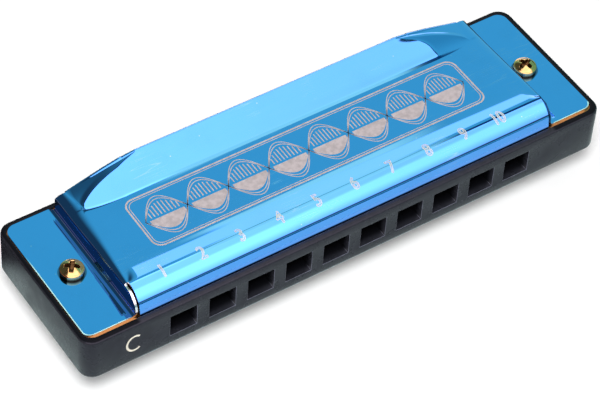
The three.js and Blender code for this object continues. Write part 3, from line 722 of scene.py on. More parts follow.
def pan_head_heights(count, dome, recess, arm, half):
    """Heights over a disc: a dome that falls with the square of the radius, and a cross recess whose
    two arms have that half width and length, with steep sides and a sloping floor. Returns the heights
    and how far each point is inside the recess, 0 to 1."""
    disc, x, y = disc_grid(count)
    across, along = np.minimum(np.abs(x), np.abs(y)), np.maximum(np.abs(x), np.abs(y))
    inside = ease((half - across) / 0.12 + 0.5) * ease((arm - along) / 0.1 + 0.5)
    return dome * (1 - (disc ** 2).sum(-1)) - inside * recess * (1.0 - 0.55 * along / arm), inside


def shank_radius(node_name):
    """Radius of a CAD screw's shank: how far its lower points stand from its axis."""
    points = np.array([vertex.co[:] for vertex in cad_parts[node_name].data.vertices])
    low, high = points.min(0), points.max(0)
    shank = points[points[:, 2] < mix(low[2], high[2], 0.5)]
    return np.linalg.norm(shank[:, :2] - (low[:2] + high[:2]) / 2, axis=1).max()


def screw_piece(node_name, head_height, recess_turn, materials):
    """A pan-head screw in place of a CAD one: a domed head with a cross recess over a shank with a
    thread. The thread's radius swings in a rounded wave once a turn and once a pitch. The second
    material is for the recess."""
    low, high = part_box(node_name)
    head_radius = (high.x - low.x) / 2
    seat = high.z - head_height
    shank = shank_radius(node_name)
    count = 41
    rim = disc_grid(count)[0].reshape(-1, 2)[disc_rim(count)]
    spin = np.arctan2(rim[:, 1], rim[:, 0])
    shoulder = 0.16 * head_height
    edge_top = seat + 0.62 * head_height
    profile = [(head_radius - shoulder * (1 - math.sin(angle)), edge_top - shoulder * (1 - math.cos(angle)))
               for angle in np.linspace(0.0, QUARTER, 7)]
    profile += [(head_radius, seat + 0.08 * MM), (head_radius - 0.08 * MM, seat),
                (shank + 0.12 * MM, seat), (shank, seat - 0.12 * MM)]
    pitch, depth = 0.4 * MM, 0.11 * MM
    for height in np.arange(seat - 0.5 * MM, low.z + 0.3 * MM, -pitch / 6):
        wave = np.cos(spin - 2 * math.pi * height / pitch)
        fade = min(1.0, (seat - height) / (1.2 * MM))
        radius = shank - fade * depth * (0.5 - 0.5 * np.sign(wave) * np.abs(wave) ** 0.7)
        profile.append((radius[:, None], height))
    profile += [(shank - depth, low.z + 0.25 * MM), (shank - 0.3 * MM, low.z)]
    rings = [np.column_stack([rim * radius, np.full(len(rim), height)]) for radius, height in profile]
    caps, inside = pan_head_heights(count, high.z - edge_top, 0.7 * head_height, 0.68, 0.2)
    points, quads = turned_piece(np.array(rings), caps, count)
    slots = np.zeros(len(quads))
    slots[:(count - 1) ** 2] = (inside[:-1, :-1] + inside[1:, 1:]).ravel() > 0.5
    turn = np.array([[math.cos(recess_turn), -math.sin(recess_turn)],
                     [math.sin(recess_turn), math.cos(recess_turn)]])
    points[:, :2] = points[:, :2] @ turn.T + [(low.x + high.x) / 2, (low.y + high.y) / 2]
    piece = array_piece(node_name + "_plated", points, quads, materials, slots, math.radians(38))
    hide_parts(node_name)
    return piece


def nut_piece(node_name, bolt_radius, material):
    """A hexagon nut in place of a CAD one. Its rings run from the hole out over the upper face, down
    the flats and back: each flat's radius is the apothem over the cosine from its middle, held within
    a cone at both faces."""
    low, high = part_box(node_name)
    apothem = (high.y - low.y) / 2
    spin = np.linspace(0.0, 2 * math.pi, 96, endpoint=False)
    hexagon = apothem / np.cos(spin % (math.pi / 3) - math.pi / 6)
    thickness = high.z - low.z
    inner = bolt_radius + 0.02 * MM
    face = 0.97 * apothem
    depths = thickness * np.array([0.03, 0.08, 0.15])
    cone = [(depth, np.minimum(hexagon, face + depth / 0.58)) for depth in depths]
    rings = [(inner, low.z + rise) for rise in thickness * np.array([0.12, 0.5, 0.88])]
    rings += [(inner + 0.18 * MM, high.z), (face, high.z)]
    rings += [(radius, high.z - depth) for depth, radius in cone]
    rings += [(radius, low.z + depth) for depth, radius in cone[::-1]]
    rings += [(face, low.z), (inner + 0.18 * MM, low.z)]
    points = np.array([np.stack([(low.x + high.x) / 2 + radius * np.cos(spin),
                                 (low.y + high.y) / 2 + radius * np.sin(spin), height + 0 * spin], 1)
                       for radius, height in rings])
    index = np.arange(len(rings) * len(spin)).reshape(len(rings), len(spin))
    below = np.roll(index, -1, axis=0)
    quads = np.stack([index, np.roll(index, -1, axis=1), np.roll(below, -1, axis=1), below], -1)
    piece = array_piece(node_name + "_plated", points.reshape(-1, 3), quads.reshape(-1, 4)[:, ::-1],
                        [material], sharp=math.radians(25))
    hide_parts(node_name)
    return piece


# ---- Comb ---------------------------------------------------------------------------------------


def softened_copy(name, node_name, width, materials):
    """A merged copy of a CAD node with its flat faces whole again and its sharp edges rounded; the
    second material is for the rounded edges."""
    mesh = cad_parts[node_name].data.copy()
    shape = bmesh.new()
    shape.from_mesh(mesh)
    bmesh.ops.remove_doubles(shape, verts=shape.verts, dist=1e-7)
    bmesh.ops.dissolve_limit(shape, angle_limit=math.radians(1), verts=shape.verts, edges=shape.edges)
    shape.to_mesh(mesh)
    shape.free()
    mesh.name = name
    piece = new_piece(name, mesh, materials)
    bevel = piece.modifiers.new("rounded edges", "BEVEL")
    bevel.width = width
    bevel.segments = 3
    bevel.material = 1
    bevel.limit_method = "ANGLE"
    bevel.angle_limit = math.radians(40)
    bevel.harden_normals = True
    apply_modifiers(piece)
    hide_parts(node_name)
    return piece


# ---- Materials ----------------------------------------------------------------------------------


class Wire:
    """A value in a node tree. Sums, products and the like of wires are Math nodes."""

    def __init__(self, socket):
        self.socket = socket
        self.tree = socket.id_data

    def maths(self, operation, first, second=0.0, clamp=False):
        """The result of a Math node."""
        inputs = {0: first, 1: second}
        return value(self.tree, "ShaderNodeMath", inputs, operation=operation, use_clamp=clamp)

    def __abs__(self):
        return self.maths("ABSOLUTE", self)

    def __add__(self, other):
        return self.maths("ADD", self, other)

    def __sub__(self, other):
        return self.maths("SUBTRACT", self, other)

    def __rsub__(self, other):
        return self.maths("SUBTRACT", other, self)

    def __mul__(self, other):
        return self.maths("MULTIPLY", self, other)

    def __truediv__(self, other):
        return self.maths("DIVIDE", self, other)

    def __pow__(self, power):
        return self.maths("POWER", self, power)

    def ramp(self, low, high, to_low=0.0, to_high=1.0):
        """Carried smoothly from one range to another, and held there."""
        inputs = {"Value": self, "From Min": low, "From Max": high, "To Min": to_low, "To Max": to_high}
        return value(self.tree, "ShaderNodeMapRange", inputs, interpolation_type="SMOOTHSTEP")

    def drop(self, low, high):
        """1 below a range and 0 above it."""
        return self.ramp(low, high, 1.0, 0.0)


def most(first, second):
    """The larger of a wire and another value."""
    return first.maths("MAXIMUM", first, second)


def least(first, second):
    """The smaller of a wire and another value."""
    return first.maths("MINIMUM", first, second)


def put(socket, given):
    """Links a socket to a wire, or sets its value."""
    if isinstance(given, Wire):
        given.tree.links.new(given.socket, socket)
    else:
        socket.default_value = given


def node(tree, kind, inputs, **settings):
    """A new shader node with its settings, and its inputs by name or number."""
    new = tree.nodes.new(kind)
    for key, setting in settings.items():
        setattr(new, key, setting)
    for key, given in inputs.items():
        put(new.inputs[key], given)
    return new


def value(tree, kind, inputs, output=0, **settings):
    """An output of a new shader node, as a wire."""
    return Wire(node(tree, kind, inputs, **settings).outputs[output])


def feed(target, **values):
    """Sets a node's inputs; underscores in their names stand for spaces."""
    for key, given in values.items():
        put(target.inputs[key.replace("_", " ")], given)


def rgba(values, scale=1.0):
    """A colour with full opacity, all its parts times scale."""
    return tuple(part * scale for part in values[:3]) + (1.0,)


def tint(factor, first, second, how="MIX"):
    """A colour mixed from two by a factor, at least one of the three being a wire."""
    tree = next(given.tree for given in (factor, first, second) if isinstance(given, Wire))
    inputs = {0: factor, 6: first, 7: second}  # the colour mix's places on this node
    return value(tree, "ShaderNodeMix", inputs, 2, data_type="RGBA", blend_type=how)


def layered(shade, *layers):
    """A colour with others laid over it in turn, each given after its mask."""
    for mask, over in layers:
        shade = tint(mask, shade, over)
    return shade


def noise(vector, scale, detail=3.0, roughness=0.55):
    """The value of a noise texture."""
    inputs = {"Vector": vector, "Scale": scale, "Detail": detail, "Roughness": roughness}
    return value(vector.tree, "ShaderNodeTexNoise", inputs)


def mapped(vector, scale, rotation=(0.0, 0.0, 0.0)):
    """A vector turned and scaled."""
    return value(vector.tree, "ShaderNodeMapping", {"Vector": vector, "Rotation": rotation, "Scale": scale})


def parts_of(vector):
    """The three parts of a vector."""
    return [Wire(part) for part in node(vector.tree, "ShaderNodeSeparateXYZ", {0: vector}).outputs]


def length_of(x, y):
    """The length of a plane vector."""
    both = value(x.tree, "ShaderNodeCombineXYZ", {0: x, 1: y})
    return value(x.tree, "ShaderNodeVectorMath", {0: both}, "Value", operation="LENGTH")


def ray(tree, kind):
    """1 for rays of a kind and 0 for others."""
    return Wire(tree.nodes.new("ShaderNodeLightPath").outputs["Is %s Ray" % kind])


def new_group(name, inputs, outputs, build):
    """A node group with a vector and float inputs, given with their defaults, and float outputs."""
    group = bpy.data.node_groups.new(name, "ShaderNodeTree")
    group.interface.new_socket("Vector", in_out="INPUT", socket_type="NodeSocketVector")
    for label, default in inputs.items():
        socket = group.interface.new_socket(label, in_out="INPUT", socket_type="NodeSocketFloat")
        socket.default_value = default
    for label in outputs:
        group.interface.new_socket(label, in_out="OUTPUT", socket_type="NodeSocketFloat")
    given = group.nodes.new("NodeGroupInput").outputs
    out = group.nodes.new("NodeGroupOutput")
    for label, wire in zip(outputs, build(*(Wire(given[label]) for label in ("Vector", *inputs)))):
        put(out.inputs[label], wire)
    return group


def shared(name, outputs, **inputs):
    """Turns a function that makes values from wires into one that adds a node with those values: all
    such nodes share one group, made the first time. The new function returns the node's outputs."""
    def wrap(build):
        def use(vector, **values):
            new = vector.tree.nodes.new("ShaderNodeGroup")
            new.node_tree = bpy.data.node_groups.get(name) or new_group(name, inputs, outputs, build)
            feed(new, Vector=vector, **values)
            return [Wire(out) for out in new.outputs]
        return use
    return wrap


@shared("Fine scratches", ["Mask"], Scale=400.0, Width=0.02)
def fine_scratches(vector, scale, width):
    """Scratches in two directions: stretched noise, kept only where it crosses its middle value and
    where a broader noise lets it through."""
    masks = []
    for turn, stretch in ((0.35, 0.035), (-0.9, 0.05)):
        off = abs(noise(mapped(vector, (stretch, 1.0, 1.0), (0.2, 0.1, turn)), scale, 1.0) - 0.5) / width
        masks.append(off.maths("SUBTRACT", 1.0, off, clamp=True))
    return [most(*masks) * noise(vector, 90.0, 2.0).ramp(0.52, 0.66)]


@shared("Handling marks", ["Smear", "Speck", "Wave"], Size=120.0)
def handling_marks(vector, size):
    """Broad smears, fine specks and a slow waviness of the surface."""
    inputs = {"Vector": vector, "Scale": 620.0, "Randomness": 1.0}
    near = value(vector.tree, "ShaderNodeTexVoronoi", inputs, "Distance").drop(0.05, 0.09)
    return [noise(vector, size, 5.0, 0.62).ramp(0.46, 0.72), near * noise(vector, 260.0, 1.0).ramp(0.6, 0.64),
            noise(vector, 70.0, 1.0, 0.4)]


@shared("Moulded grain", ["Height", "Tone"], Scale=5200.0)
def moulded_grain(vector, scale):
    """A rough skin: fine noise over coarser noise, as a height and as a tone around one."""
    coarse = noise(vector, scale * 0.11)
    return [noise(vector, scale, 4.0, 0.6) + coarse * 0.8, coarse.ramp(0.3, 0.7, 0.86, 1.14)]


@shared("Milled metal", ["Lines", "Tarnish"], Scale=3000.0)
def milled_metal(vector, scale):
    """Fine parallel tool marks along one axis, and blotches of tarnish."""
    marks = noise(mapped(vector, (0.02, 1.0, 1.0)), scale)
    return [marks, noise(vector, 190.0, 5.0, 0.65).ramp(0.45, 0.75)]


def new_material(name):
    """An empty material. Returns it, its Principled shader and its object coordinates."""
    material = bpy.data.materials.new(name)
    material.use_nodes = True
    tree = material.node_tree
    tree.nodes.clear()
    shader = tree.nodes.new("ShaderNodeBsdfPrincipled")
    output = tree.nodes.new("ShaderNodeOutputMaterial")
    tree.links.new(shader.outputs[0], output.inputs[0])
    return material, shader, Wire(tree.nodes.new("ShaderNodeTexCoord").outputs["Object"])


def bump(shader, height, distance):
    """Feeds a height, in metres over its range, to the shader's normals."""
    inputs = {"Height": height, "Distance": distance, "Strength": 1.0}
    feed(shader, Normal=value(height.tree, "ShaderNodeBump", inputs))


def flange_wear(shape, x, y):
    """A painted highlight line along the outer edges of the flanges, by the distance to a rounded rectangle
    just inside them. It is left out behind and on the far side of the right flange."""
    aside = abs(x)
    radius = 1.5 * MM
    middle = COMB_FRONT + (shape.flange_front + shape.flange_rear) / 2
    half = (shape.flange_rear - shape.flange_front) / 2
    beyond = most(aside - (COVER_HIGH.x - radius), 0.0)
    reach = length_of(beyond, most(abs(y - middle) - (half - radius), 0.0))
    edge = reach.ramp(radius - 0.22 * MM, radius - 0.1 * MM)
    flange = aside.ramp(shape.end_wall + 0.5 * MM, shape.end_wall + 1.1 * MM)
    outward = most(x.drop(-43 * MM, -42 * MM), y.drop(COMB_FRONT + 2.6 * MM, COMB_FRONT + 3.2 * MM))
    return edge * flange * outward * y.drop(COMB_FRONT + 18 * MM, COMB_FRONT + 22 * MM)


def mirror_finish(finish, shape):
    """The covers' outside: a dyed mirror under a clear coat, with smears, hairlines and a slight
    waviness that bends the reflections. It has a painted shadow round the bolts and a painted highlight along
    the flanges' edges. The end walls have a painted glow in the flanges' mirror, and matt surfaces see the
    covers grey."""
    material, shader, place = new_material("dyed mirror")
    smear, speck, wave = handling_marks(place, Size=130.0)
    lines, = fine_scratches(place, Scale=900.0, Width=0.012)
    x, y, _ = parts_of(place)
    aside = abs(x)
    # off_bolt carries a painted shadow: the finish turns near black in a ring round each bolt's seat
    low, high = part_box("cover_bolt_right")
    off_bolt = length_of(aside - (low.x + high.x) / 2, y) - (high.x - low.x) / 2
    # worn is a painted highlight: a light blue, rougher line along the flanges' outer edges
    worn = flange_wear(shape, x, y)
    shade = layered(rgba(finish.cover), (smear * 0.35, rgba(finish.cover, 0.9)),
                    (lines * 0.12, rgba(finish.bare, 0.9)), (speck * 0.3, rgba(finish.bare, 0.8)),
                    (off_bolt.ramp(0.2 * MM, 0.42 * MM, 0.75, 0.0), rgba((0.01, 0.015, 0.02))),
                    (worn, rgba((0.7, 0.95, 1.0))), (ray(place.tree, "Diffuse"), rgba((0.3, 0.3, 0.3))))
    # wall is a painted glow: the foot of each end wall emits a faint grey-blue light for glossy rays
    off_wall = aside - shape.end_wall
    wall = off_wall.drop(0.1 * MM, 0.3 * MM) * off_wall.ramp(-0.2 * MM, -0.05 * MM)
    feed(shader, Base_Color=shade, Metallic=1.0, Coat_Weight=1.0, Coat_Roughness=0.03,
         Roughness=smear * 0.035 + finish.cover_roughness + lines * 0.1 + worn * 0.3,
         Emission_Color=rgba((0.25, 0.33, 0.37)), Emission_Strength=wall * ray(place.tree, "Glossy"))
    bump(shader, wave - lines * 0.02, 0.02 * MM)
    return material


def bare_metal(finish, name, scale, dull):
    """Plain sheet metal for the covers' cut edges and insides, with painted shade beside the right end wall,
    where it turns dark blue.
    """
    material, shader, place = new_material(name)
    marks, tarnish = milled_metal(place, Scale=3500.0)
    x = parts_of(place)[0]
    # painted shade: dark blue between 39 and 42 mm to the right of the middle
    shade = layered(rgba(finish.bare, scale), (tarnish * 0.3, rgba(finish.bare, 0.7 * scale)),
                    (x.ramp(39 * MM, 40 * MM) * x.drop(41 * MM, 42 * MM), rgba(finish.cover, 0.12)))
    feed(shader, Base_Color=shade, Metallic=1.0, Roughness=tarnish.ramp(0.0, 1.0, dull, dull + 0.15))
    bump(shader, marks, 0.004 * MM)
    return material


def moulded_plastic(name, finish, shape, pale):
    """The comb: dark plastic with a fine skin, a few scuffs and a trace of dust, pale times as light as its
    colour;
    pale above 1 makes a painted highlight. Its holes and the top of its rim have painted shade: darker and
    less shiny. Its front before the covers' foot has a painted reflection: for glossy rays it glows as pale
    as the floor, so the covers' mirror shows it pale, but for a dark line along their foot."""
    material, shader, place = new_material(name)
    skin, tone = moulded_grain(place, Scale=5200.0)
    smear, speck, _ = handling_marks(place, Size=170.0)
    lines, = fine_scratches(place, Scale=700.0, Width=0.015)
    x, y, z = parts_of(place)
    front, aside, level = y - COMB_FRONT, abs(x), abs(z - COMB_MIDDLE)
    top = COMB_TOP - COMB_MIDDLE
    # inner is painted shade: darker and less shiny inside the holes and on the top of the rim
    inner = (aside.drop(37 * MM, 38 * MM) * level.drop(2.9 * MM, 3.3 * MM) * front.ramp(0.3 * MM, 1.6 * MM)
             * y.drop(COMB_HIGH.y - MM, COMB_HIGH.y - 0.5 * MM))
    rim = most(aside.ramp(40.7 * MM, 41.5 * MM), front.ramp(2 * MM, 3 * MM))
    inner = most(inner, rim * level.ramp(top - 0.12 * MM, top - 0.03 * MM) * 0.85)
    shade = layered(tint(1.0, rgba(finish.comb, pale), tone, "MULTIPLY"),
                    (lines * 0.08, rgba(finish.comb, 4.0 * pale)), (speck * 0.05, rgba((0.2, 0.2, 0.2))),
                    (inner, rgba(finish.comb, 0.25)))
    # painted reflection: in front of the covers' foot the comb glows white for glossy rays, with a dark line
    # just before the foot
    mirrored = front.drop(shape.band_foot - 0.3 * MM, shape.band_foot - 0.12 * MM)
    feed(shader, Base_Color=shade, Specular_Tint=rgba((0.86, 0.8, 1.0)),
         Specular_IOR_Level=inner.ramp(0.0, 1.0, 0.22, 0.03),
         Roughness=smear.ramp(0.0, 1.0, finish.comb_roughness, finish.comb_roughness + 0.1),
         Emission_Color=rgba((1.0, 1.0, 1.0)), Emission_Strength=mirrored * ray(place.tree, "Glossy") * 0.8)
    bump(shader, skin - lines * 0.12, 0.004 * MM)
    return material


def worked_metal(name, base, rough, lines_scale, darker=0.55, shade_to=None):
    """Brass or plated metal with tool marks, tarnish and fine scratches, with painted shade: darker within a
    millimetre below the height shade_to."""
    material, shader, place = new_material(name)
    marks, tarnish = milled_metal(place, Scale=lines_scale)
    lines, = fine_scratches(place, Scale=1500.0, Width=0.02)
    shade = layered(rgba(base), (tarnish * 0.5, rgba(base, darker)), (lines * 0.3, rgba(base, 1.1)))
    if shade_to is not None:
        shade = tint(1.0, shade, parts_of(place)[2].ramp(shade_to - MM, shade_to, 0.16, 1.0), "MULTIPLY")
    feed(shader, Base_Color=shade, Metallic=1.0, Roughness=tarnish * 0.14 + rough + lines * 0.1)
    bump(shader, marks - lines * 0.5, 0.005 * MM)
    return material


def etched_layer(name, base):
    """Etched or printed marks: a thin dull layer, slightly uneven."""
    material, shader, place = new_material(name)
    skin, tone = moulded_grain(place, Scale=9000.0)
    feed(shader, Base_Color=tint(1.0, rgba(base), tone, "MULTIPLY"),
         Roughness=skin.ramp(0.4, 1.4, 0.45, 0.62))
    bump(shader, skin, 0.004 * MM)
    return material


# ---- Studio -------------------------------------------------------------------------------------


def camera_axes(studio):
    """The camera's right, up and backward directions from its azimuth, elevation and roll."""
    turn, rise, roll = studio.azimuth, studio.elevation, studio.roll
    right = Vector((math.cos(turn), math.sin(turn), 0.0))
    back = Vector((math.cos(rise) * math.sin(turn), -math.cos(rise) * math.cos(turn), math.sin(rise)))
    up = back.cross(right)
    return right * math.cos(roll) + up * math.sin(roll), up * math.cos(roll) - right * math.sin(roll), back


def place_camera(studio):
    """The camera, looking at a point level with the top of the comb."""
    right, up, back = camera_axes(studio)
    aim = Vector((studio.aim_x, studio.aim_y, COMB_TOP))
    camera = linked("camera", bpy.data.cameras.new("camera"))
    camera.matrix_world = Matrix.Translation(aim + back * studio.distance) @ Matrix(
        (right, up, back)).transposed().to_4x4()
    camera.data.lens = studio.lens
    camera.data.sensor_width = 36.0
    camera.data.clip_start = 0.01
    camera.data.clip_end = 50.0
    bpy.context.scene.camera = camera


def facing(direction, normal, soft):
    """1 where a direction leans towards a normal, 0 where it leans away, smooth in between."""
    inputs = {0: direction, 1: normal}
    lean = value(direction.tree, "ShaderNodeVectorMath", inputs, "Value", operation="DOT_PRODUCT")
    return lean.ramp(-soft, soft)


def mirrored_studio(direction):
    """What a mirror sees of the studio, by the direction it looks in: darkness, with a grey wall
    behind, a paler panel beyond it, a large softbox in front with a soft right edge, a low warm light
    at the left, more wall at the right and a bright rim between the softbox and the panel."""
    x, y, z = parts_of(direction)
    grey = rgba((0.32, 0.80, 0.68))
    wall = most(facing(direction, (0.391, 0.687, -0.612), 0.012),
                facing(direction, (0.0, 0.87, -0.493), 0.02) * x.drop(0.2, 0.28))
    panel = (facing(direction, (-0.594, 0.736, -0.326), 0.012) * x.ramp(0.31, 0.325)
             * most(y.ramp(0.655, 0.67), x.ramp(0.36, 0.375)))
    right = x + least((y + 0.2) * 0.25, 0.0) + most(y - 0.15, 0.0) ** 2.0
    softbox = (facing(direction, (-0.746, -0.371, 0.555), 0.012)
               * facing(direction, (0.551, -0.786, 0.279), 0.02)
               * z.ramp(0.1, 0.17, 0.1, 1.0) * right.drop(0.486, 0.494))
    glow = z.ramp(0.15, 0.6, 1.75, 2.8) * z.ramp(0.8, 0.9, 1.0, 0.68) * x.ramp(0.33, 0.47, 1.12, 0.86)
    side = (right + y.ramp(0.0, 0.2, 0.0, 0.012)).ramp(0.503, 0.515) * z.ramp(0.0, 0.1) * y.drop(0.42, 0.5)
    off_panel = abs(x * 0.393 + (y - 0.709)).ramp(0.022, 0.03)
    rim = (off_panel * y.drop(0.62, 0.65) * (1.0 - x.ramp(0.43, 0.46) * y.ramp(0.5, 0.52))
           * x.ramp(0.35, 0.37) * y.ramp(0.26, 0.31) * x.drop(0.5, 0.51))
    return layered(rgba((0.055, 0.06, 0.065)),
                   (wall * x.ramp(-0.08, 0.33, 0.04, 1.0), grey),
                   (panel, rgba((1.7, 1.7, 1.7))),
                   (softbox, tint(1.0, rgba((1.05, 0.96, 1.0)), glow, "MULTIPLY")),
                   (z.drop(0.02, 0.22) * x.drop(-0.6, -0.5), rgba((0.8, 0.3, 0.22))),
                   (side, tint(x.ramp(0.5, 0.66), grey, rgba((0.2, 0.58, 0.52)))),
                   (rim, tint(x.ramp(0.443, 0.458), rgba((1.75, 1.7, 1.03)), rgba((0.02, 0.1, 0.15)))))


def studio_surroundings(studio):
    """White for the camera, an even soft light for matt surfaces, and a studio for glossy ones."""
    world = bpy.data.worlds.new("studio")
    bpy.context.scene.world = world
    world.use_nodes = True
    tree = world.node_tree
    tree.nodes.clear()
    direction = Wire(tree.nodes.new("ShaderNodeTexCoord").outputs["Generated"])
    shiny = most(ray(tree, "Glossy"), ray(tree, "Transmission"))
    seen = layered(rgba((studio.ambient,) * 3), (shiny, mirrored_studio(direction)),
                   (ray(tree, "Camera"), rgba((1.0, 1.0, 1.0))))
    background = value(tree, "ShaderNodeBackground", {"Color": seen, "Strength": 1.0})
    put(tree.nodes.new("ShaderNodeOutputWorld").inputs[0], background)


def pale_floor(studio):
    """A plain white floor. Far from the instrument, and close behind it, mirrors see darkness instead,
    warmer at the left and paler at the right."""
    size = studio.floor_half
    mesh = bpy.data.meshes.new("floor")
    corners = [(-size, -size, 0), (size, -size, 0), (size, size, 0), (-size, size, 0)]
    mesh.from_pydata(corners, [], [(0, 1, 2, 3)])
    linked("floor", mesh)
    material, shader, place = new_material("floor")
    mesh.materials.append(material)
    tree = place.tree
    shiny = ray(tree, "Glossy")
    x, y, _ = parts_of(place)
    away = length_of(most(abs(x) - COMB_HIGH.x, 0.0), most(abs(y) - COMB_HIGH.y, 0.0))
    far = most(away.ramp(40 * MM, 70 * MM), y.ramp(15 * MM, 21 * MM))
    feed(shader, Base_Color=tint(shiny, rgba((0.9, 0.9, 0.9)), rgba((0.72, 0.88, 0.87))), Roughness=0.9,
         Specular_IOR_Level=0.0, Emission_Color=rgba((1.0, 1.0, 1.0)),
         Emission_Strength=ray(tree, "Camera") * studio.floor_glow)
    gloom = layered(rgba((0.02, 0.17, 0.21)), (x.drop(-130 * MM, -90 * MM), rgba((0.8, 0.3, 0.22))),
                    (x.ramp(70 * MM, 100 * MM), rgba((0.3, 0.72, 0.62))),
                    (y.ramp(10 * MM, 20 * MM), rgba((0.03, 0.03, 0.035))))
    dark = value(tree, "ShaderNodeEmission", {"Color": gloom, "Strength": 1.0})
    both = value(tree, "ShaderNodeMixShader", {0: far * shiny, 1: Wire(shader.outputs[0]), 2: dark})
    put(tree.nodes["Material Output"].inputs[0], both)


def key_light(studio):
    """A soft lamp over the camera, whose level is the brightness it gives to a white floor."""
    lamp = bpy.data.lights.new("key", "AREA")
    lamp.shape = "DISK"
    lamp.size = 0.36
    reach, rise = 1.0, studio.elevation + math.radians(11)
    lamp.energy = studio.key * math.pi ** 2 * reach ** 2 / math.sin(rise)
    place = reach * Vector((math.cos(rise) * math.sin(studio.azimuth),
                            -math.cos(rise) * math.cos(studio.azimuth), math.sin(rise)))
    light = linked("key", lamp)
    light.matrix_world = Matrix.Translation(place) @ place.to_track_quat("Z", "Y").to_matrix().to_4x4()
    light.visible_glossy = False


# ---- Operators ----------------------------------------------------------------------------------


class BuildOperator:
    """What every step shares."""

    bl_options = {"REGISTER", "UNDO"}


class HARMONICA_OT_covers(BuildOperator, bpy.types.Operator):
    """Build both pressed covers in the dyed mirror finish"""

    bl_idname = "harmonica.covers"
    bl_label = "Covers"

    def execute(self, context):
        finish, shape = context.scene.harmonica_finish, context.scene.harmonica_cover
        materials = [mirror_finish(finish, shape), bare_metal(finish, "cut edge", 1.0, 0.2),
                     bare_metal(finish, "cover inside", 0.55, 0.28)]
        for name, turned_over in (("upper_cover", False), ("lower_cover", True)):
            piece = cover_piece(name + "_pressing", shape, materials, turned_over)
            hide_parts(name)
        return {"FINISHED"}


class HARMONICA_OT_numbers(BuildOperator, bpy.types.Operator):
    """Etch the hole numbers as outlines along the bulge"""

    bl_idname = "harmonica.numbers"
    bl_label = "Hole numbers"

    def execute(self, context):
        style, shape = context.scene.harmonica_marks, context.scene.harmonica_cover
        parts = []
        for number in range(1, HOLES + 1):
            low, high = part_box("blow_reed_%02d" % number)
            loops = outline_loops(str(number), style.number_height, 120)
            loops[..., 0] = loops[..., 0] * style.number_width + (low.x + high.x) / 2 + style.number_shift
            parts.append(ribbons(loops, style.outline, closed=True))
        plane, quads = joined(parts)
        material = etched_layer("etched numbers", context.scene.harmonica_finish.numbers)
        raised_layer("hole_numbers", *on_cover(shape, plane, style.number_place), quads, style.relief,
                             material)
        return {"FINISHED"}


class HARMONICA_OT_pattern(BuildOperator, bpy.types.Operator):
    """Etch a chain of lenses along the flat of the upper cover"""

    bl_idname = "harmonica.pattern"
    bl_label = "Roof pattern"

    def execute(self, context):
        style, shape = context.scene.harmonica_marks, context.scene.harmonica_cover
        plane, quads = chain_pattern(style.pattern_half, style.pattern_rise, 8)
        material = etched_layer("etched marks", context.scene.harmonica_finish.etched)
        raised_layer("roof_pattern", *on_cover(shape, plane, style.pattern_back), quads, style.relief,
                             material)
        return {"FINISHED"}


class HARMONICA_OT_comb(BuildOperator, bpy.types.Operator):
    """Round the comb's edges and give it its moulded skin and key letter"""

    bl_idname = "harmonica.comb"
    bl_label = "Comb"

    def execute(self, context):
        style, finish = context.scene.harmonica_marks, context.scene.harmonica_finish
        # The second skin, for the rounded edges, is a painted highlight: nine times as light as the comb.
        skins = [moulded_plastic(name, finish, context.scene.harmonica_cover, pale)
                 for name, pale in (("moulded comb", 1.0), ("comb edge highlight", 9.0))]
        softened_copy("comb_moulding", "comb", 0.14 * MM, skins)
        angle = np.linspace(math.radians(52), math.radians(308), 64)
        half = style.key_height / 2
        arc = np.stack([style.key_place + 0.86 * half * np.cos(angle), COMB_MIDDLE + half * np.sin(angle)], 1)
        plane, quads = ribbons(arc[None], 0.38 * MM)
        points = np.stack([plane[:, 0], COMB_FRONT + 0 * plane[:, 0], plane[:, 1]], 1)
        raised_layer("key_letter", points, np.array([0.0, -1.0, 0.0]), quads, style.relief,
                             etched_layer("key letter", finish.key))
        return {"FINISHED"}


class HARMONICA_OT_brass(BuildOperator, bpy.types.Operator):
    """Give the reed plates, the reeds and their rivets their brass"""

    bl_idname = "harmonica.brass"
    bl_label = "Reed plates and reeds"

    def execute(self, context):
        finish = context.scene.harmonica_finish
        plate = worked_metal("plate brass", finish.brass, 0.3, 2600.0)
        reed = worked_metal("reed brass", finish.reed, 0.26, 5200.0)
        for name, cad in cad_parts.items():
            if name.endswith("reed_plate"):
                cad.material_slots[0].material = plate
            elif "_reed_" in name:
                cad.material_slots[0].material = reed
        return {"FINISHED"}


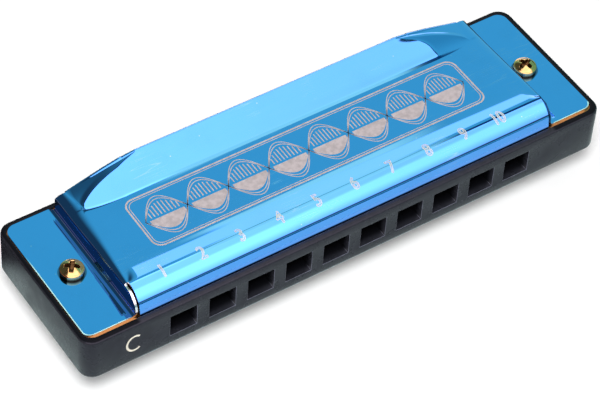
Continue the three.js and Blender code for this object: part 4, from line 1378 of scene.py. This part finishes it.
class HARMONICA_OT_fasteners(BuildOperator, bpy.types.Operator):
    """Build the bolts, nuts and plate screws with their recesses and threads"""

    bl_idname = "harmonica.fasteners"
    bl_label = "Fasteners"

    def execute(self, context):
        finish = context.scene.harmonica_finish
        gold = worked_metal("gold plating", finish.gold, 0.17, 1800.0, 0.45)
        # The bolt heads get painted shade: below 1.15 mm above the comb their sides darken, most at the foot.
        head = worked_metal("bolt plating with painted shade", finish.gold, 0.15, 1800.0, 0.45, shade_to=COMB_TOP + 1.15 * MM)
        # The recess material is painted shade inside the heads' cross recesses.
        recess = worked_metal("recess", finish.recess, 0.4, 1800.0, 0.45)
        for side, turn in (("left", 0.94), ("right", 0.3)):
            bolt = "cover_bolt_" + side
            screw_piece(bolt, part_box(bolt)[1].z - COMB_TOP, turn, [head, recess])
            nut_piece("cover_nut_" + side, shank_radius(bolt), gold)
        for side, turn in (("left", 0.3), ("middle", 0.95), ("right", 0.1)):
            screw = "plate_screw_" + side
            screw_piece(screw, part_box(screw)[1].z - PLATE_TOP, turn, [gold, recess])
        return {"FINISHED"}


class HARMONICA_OT_stage(BuildOperator, bpy.types.Operator):
    """Set up the camera, the floor and the soft studio light"""

    bl_idname = "harmonica.stage"
    bl_label = "Studio"

    def execute(self, context):
        for build in (place_camera, studio_surroundings, pale_floor, key_light):
            build(context.scene.harmonica_studio)
        context.scene.view_settings.view_transform = "Standard"
        return {"FINISHED"}


STEPS = ("covers", "numbers", "pattern", "comb", "brass", "fasteners", "stage")


class HARMONICA_PT_panel(bpy.types.Panel):
    """Settings and steps, in the sidebar"""

    bl_label = "Harmonica"
    bl_space_type = "VIEW_3D"
    bl_region_type = "UI"
    bl_category = "Harmonica"

    def draw(self, context):
        layout = self.layout
        for step in STEPS:
            layout.operator("harmonica." + step)
        for group in SETTINGS:
            settings = getattr(context.scene, "harmonica_" + group)
            box = layout.box()
            for name in settings.bl_rna.properties.keys():
                if name not in ("rna_type", "name"):
                    box.prop(settings, name)


SETTINGS = {"cover": CoverShape, "marks": MarkStyle, "finish": Finish, "studio": Studio}
CLASSES = (CoverShape, MarkStyle, Finish, Studio, HARMONICA_OT_covers, HARMONICA_OT_numbers,
           HARMONICA_OT_pattern, HARMONICA_OT_comb, HARMONICA_OT_brass, HARMONICA_OT_fasteners,
           HARMONICA_OT_stage, HARMONICA_PT_panel)


def register():
    """Registers the classes and adds their settings to the scene."""
    for cls in CLASSES:
        bpy.utils.register_class(cls)
    for name, group in SETTINGS.items():
        setattr(bpy.types.Scene, "harmonica_" + name, PointerProperty(type=group))


def unregister():
    """Takes back what register adds."""
    for name in SETTINGS:
        delattr(bpy.types.Scene, "harmonica_" + name)
    for cls in reversed(CLASSES):
        bpy.utils.unregister_class(cls)


def main():
    register()
    for step in STEPS:
        getattr(bpy.ops.harmonica, step)()
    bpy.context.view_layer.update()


if __name__ == "__main__":
    main()
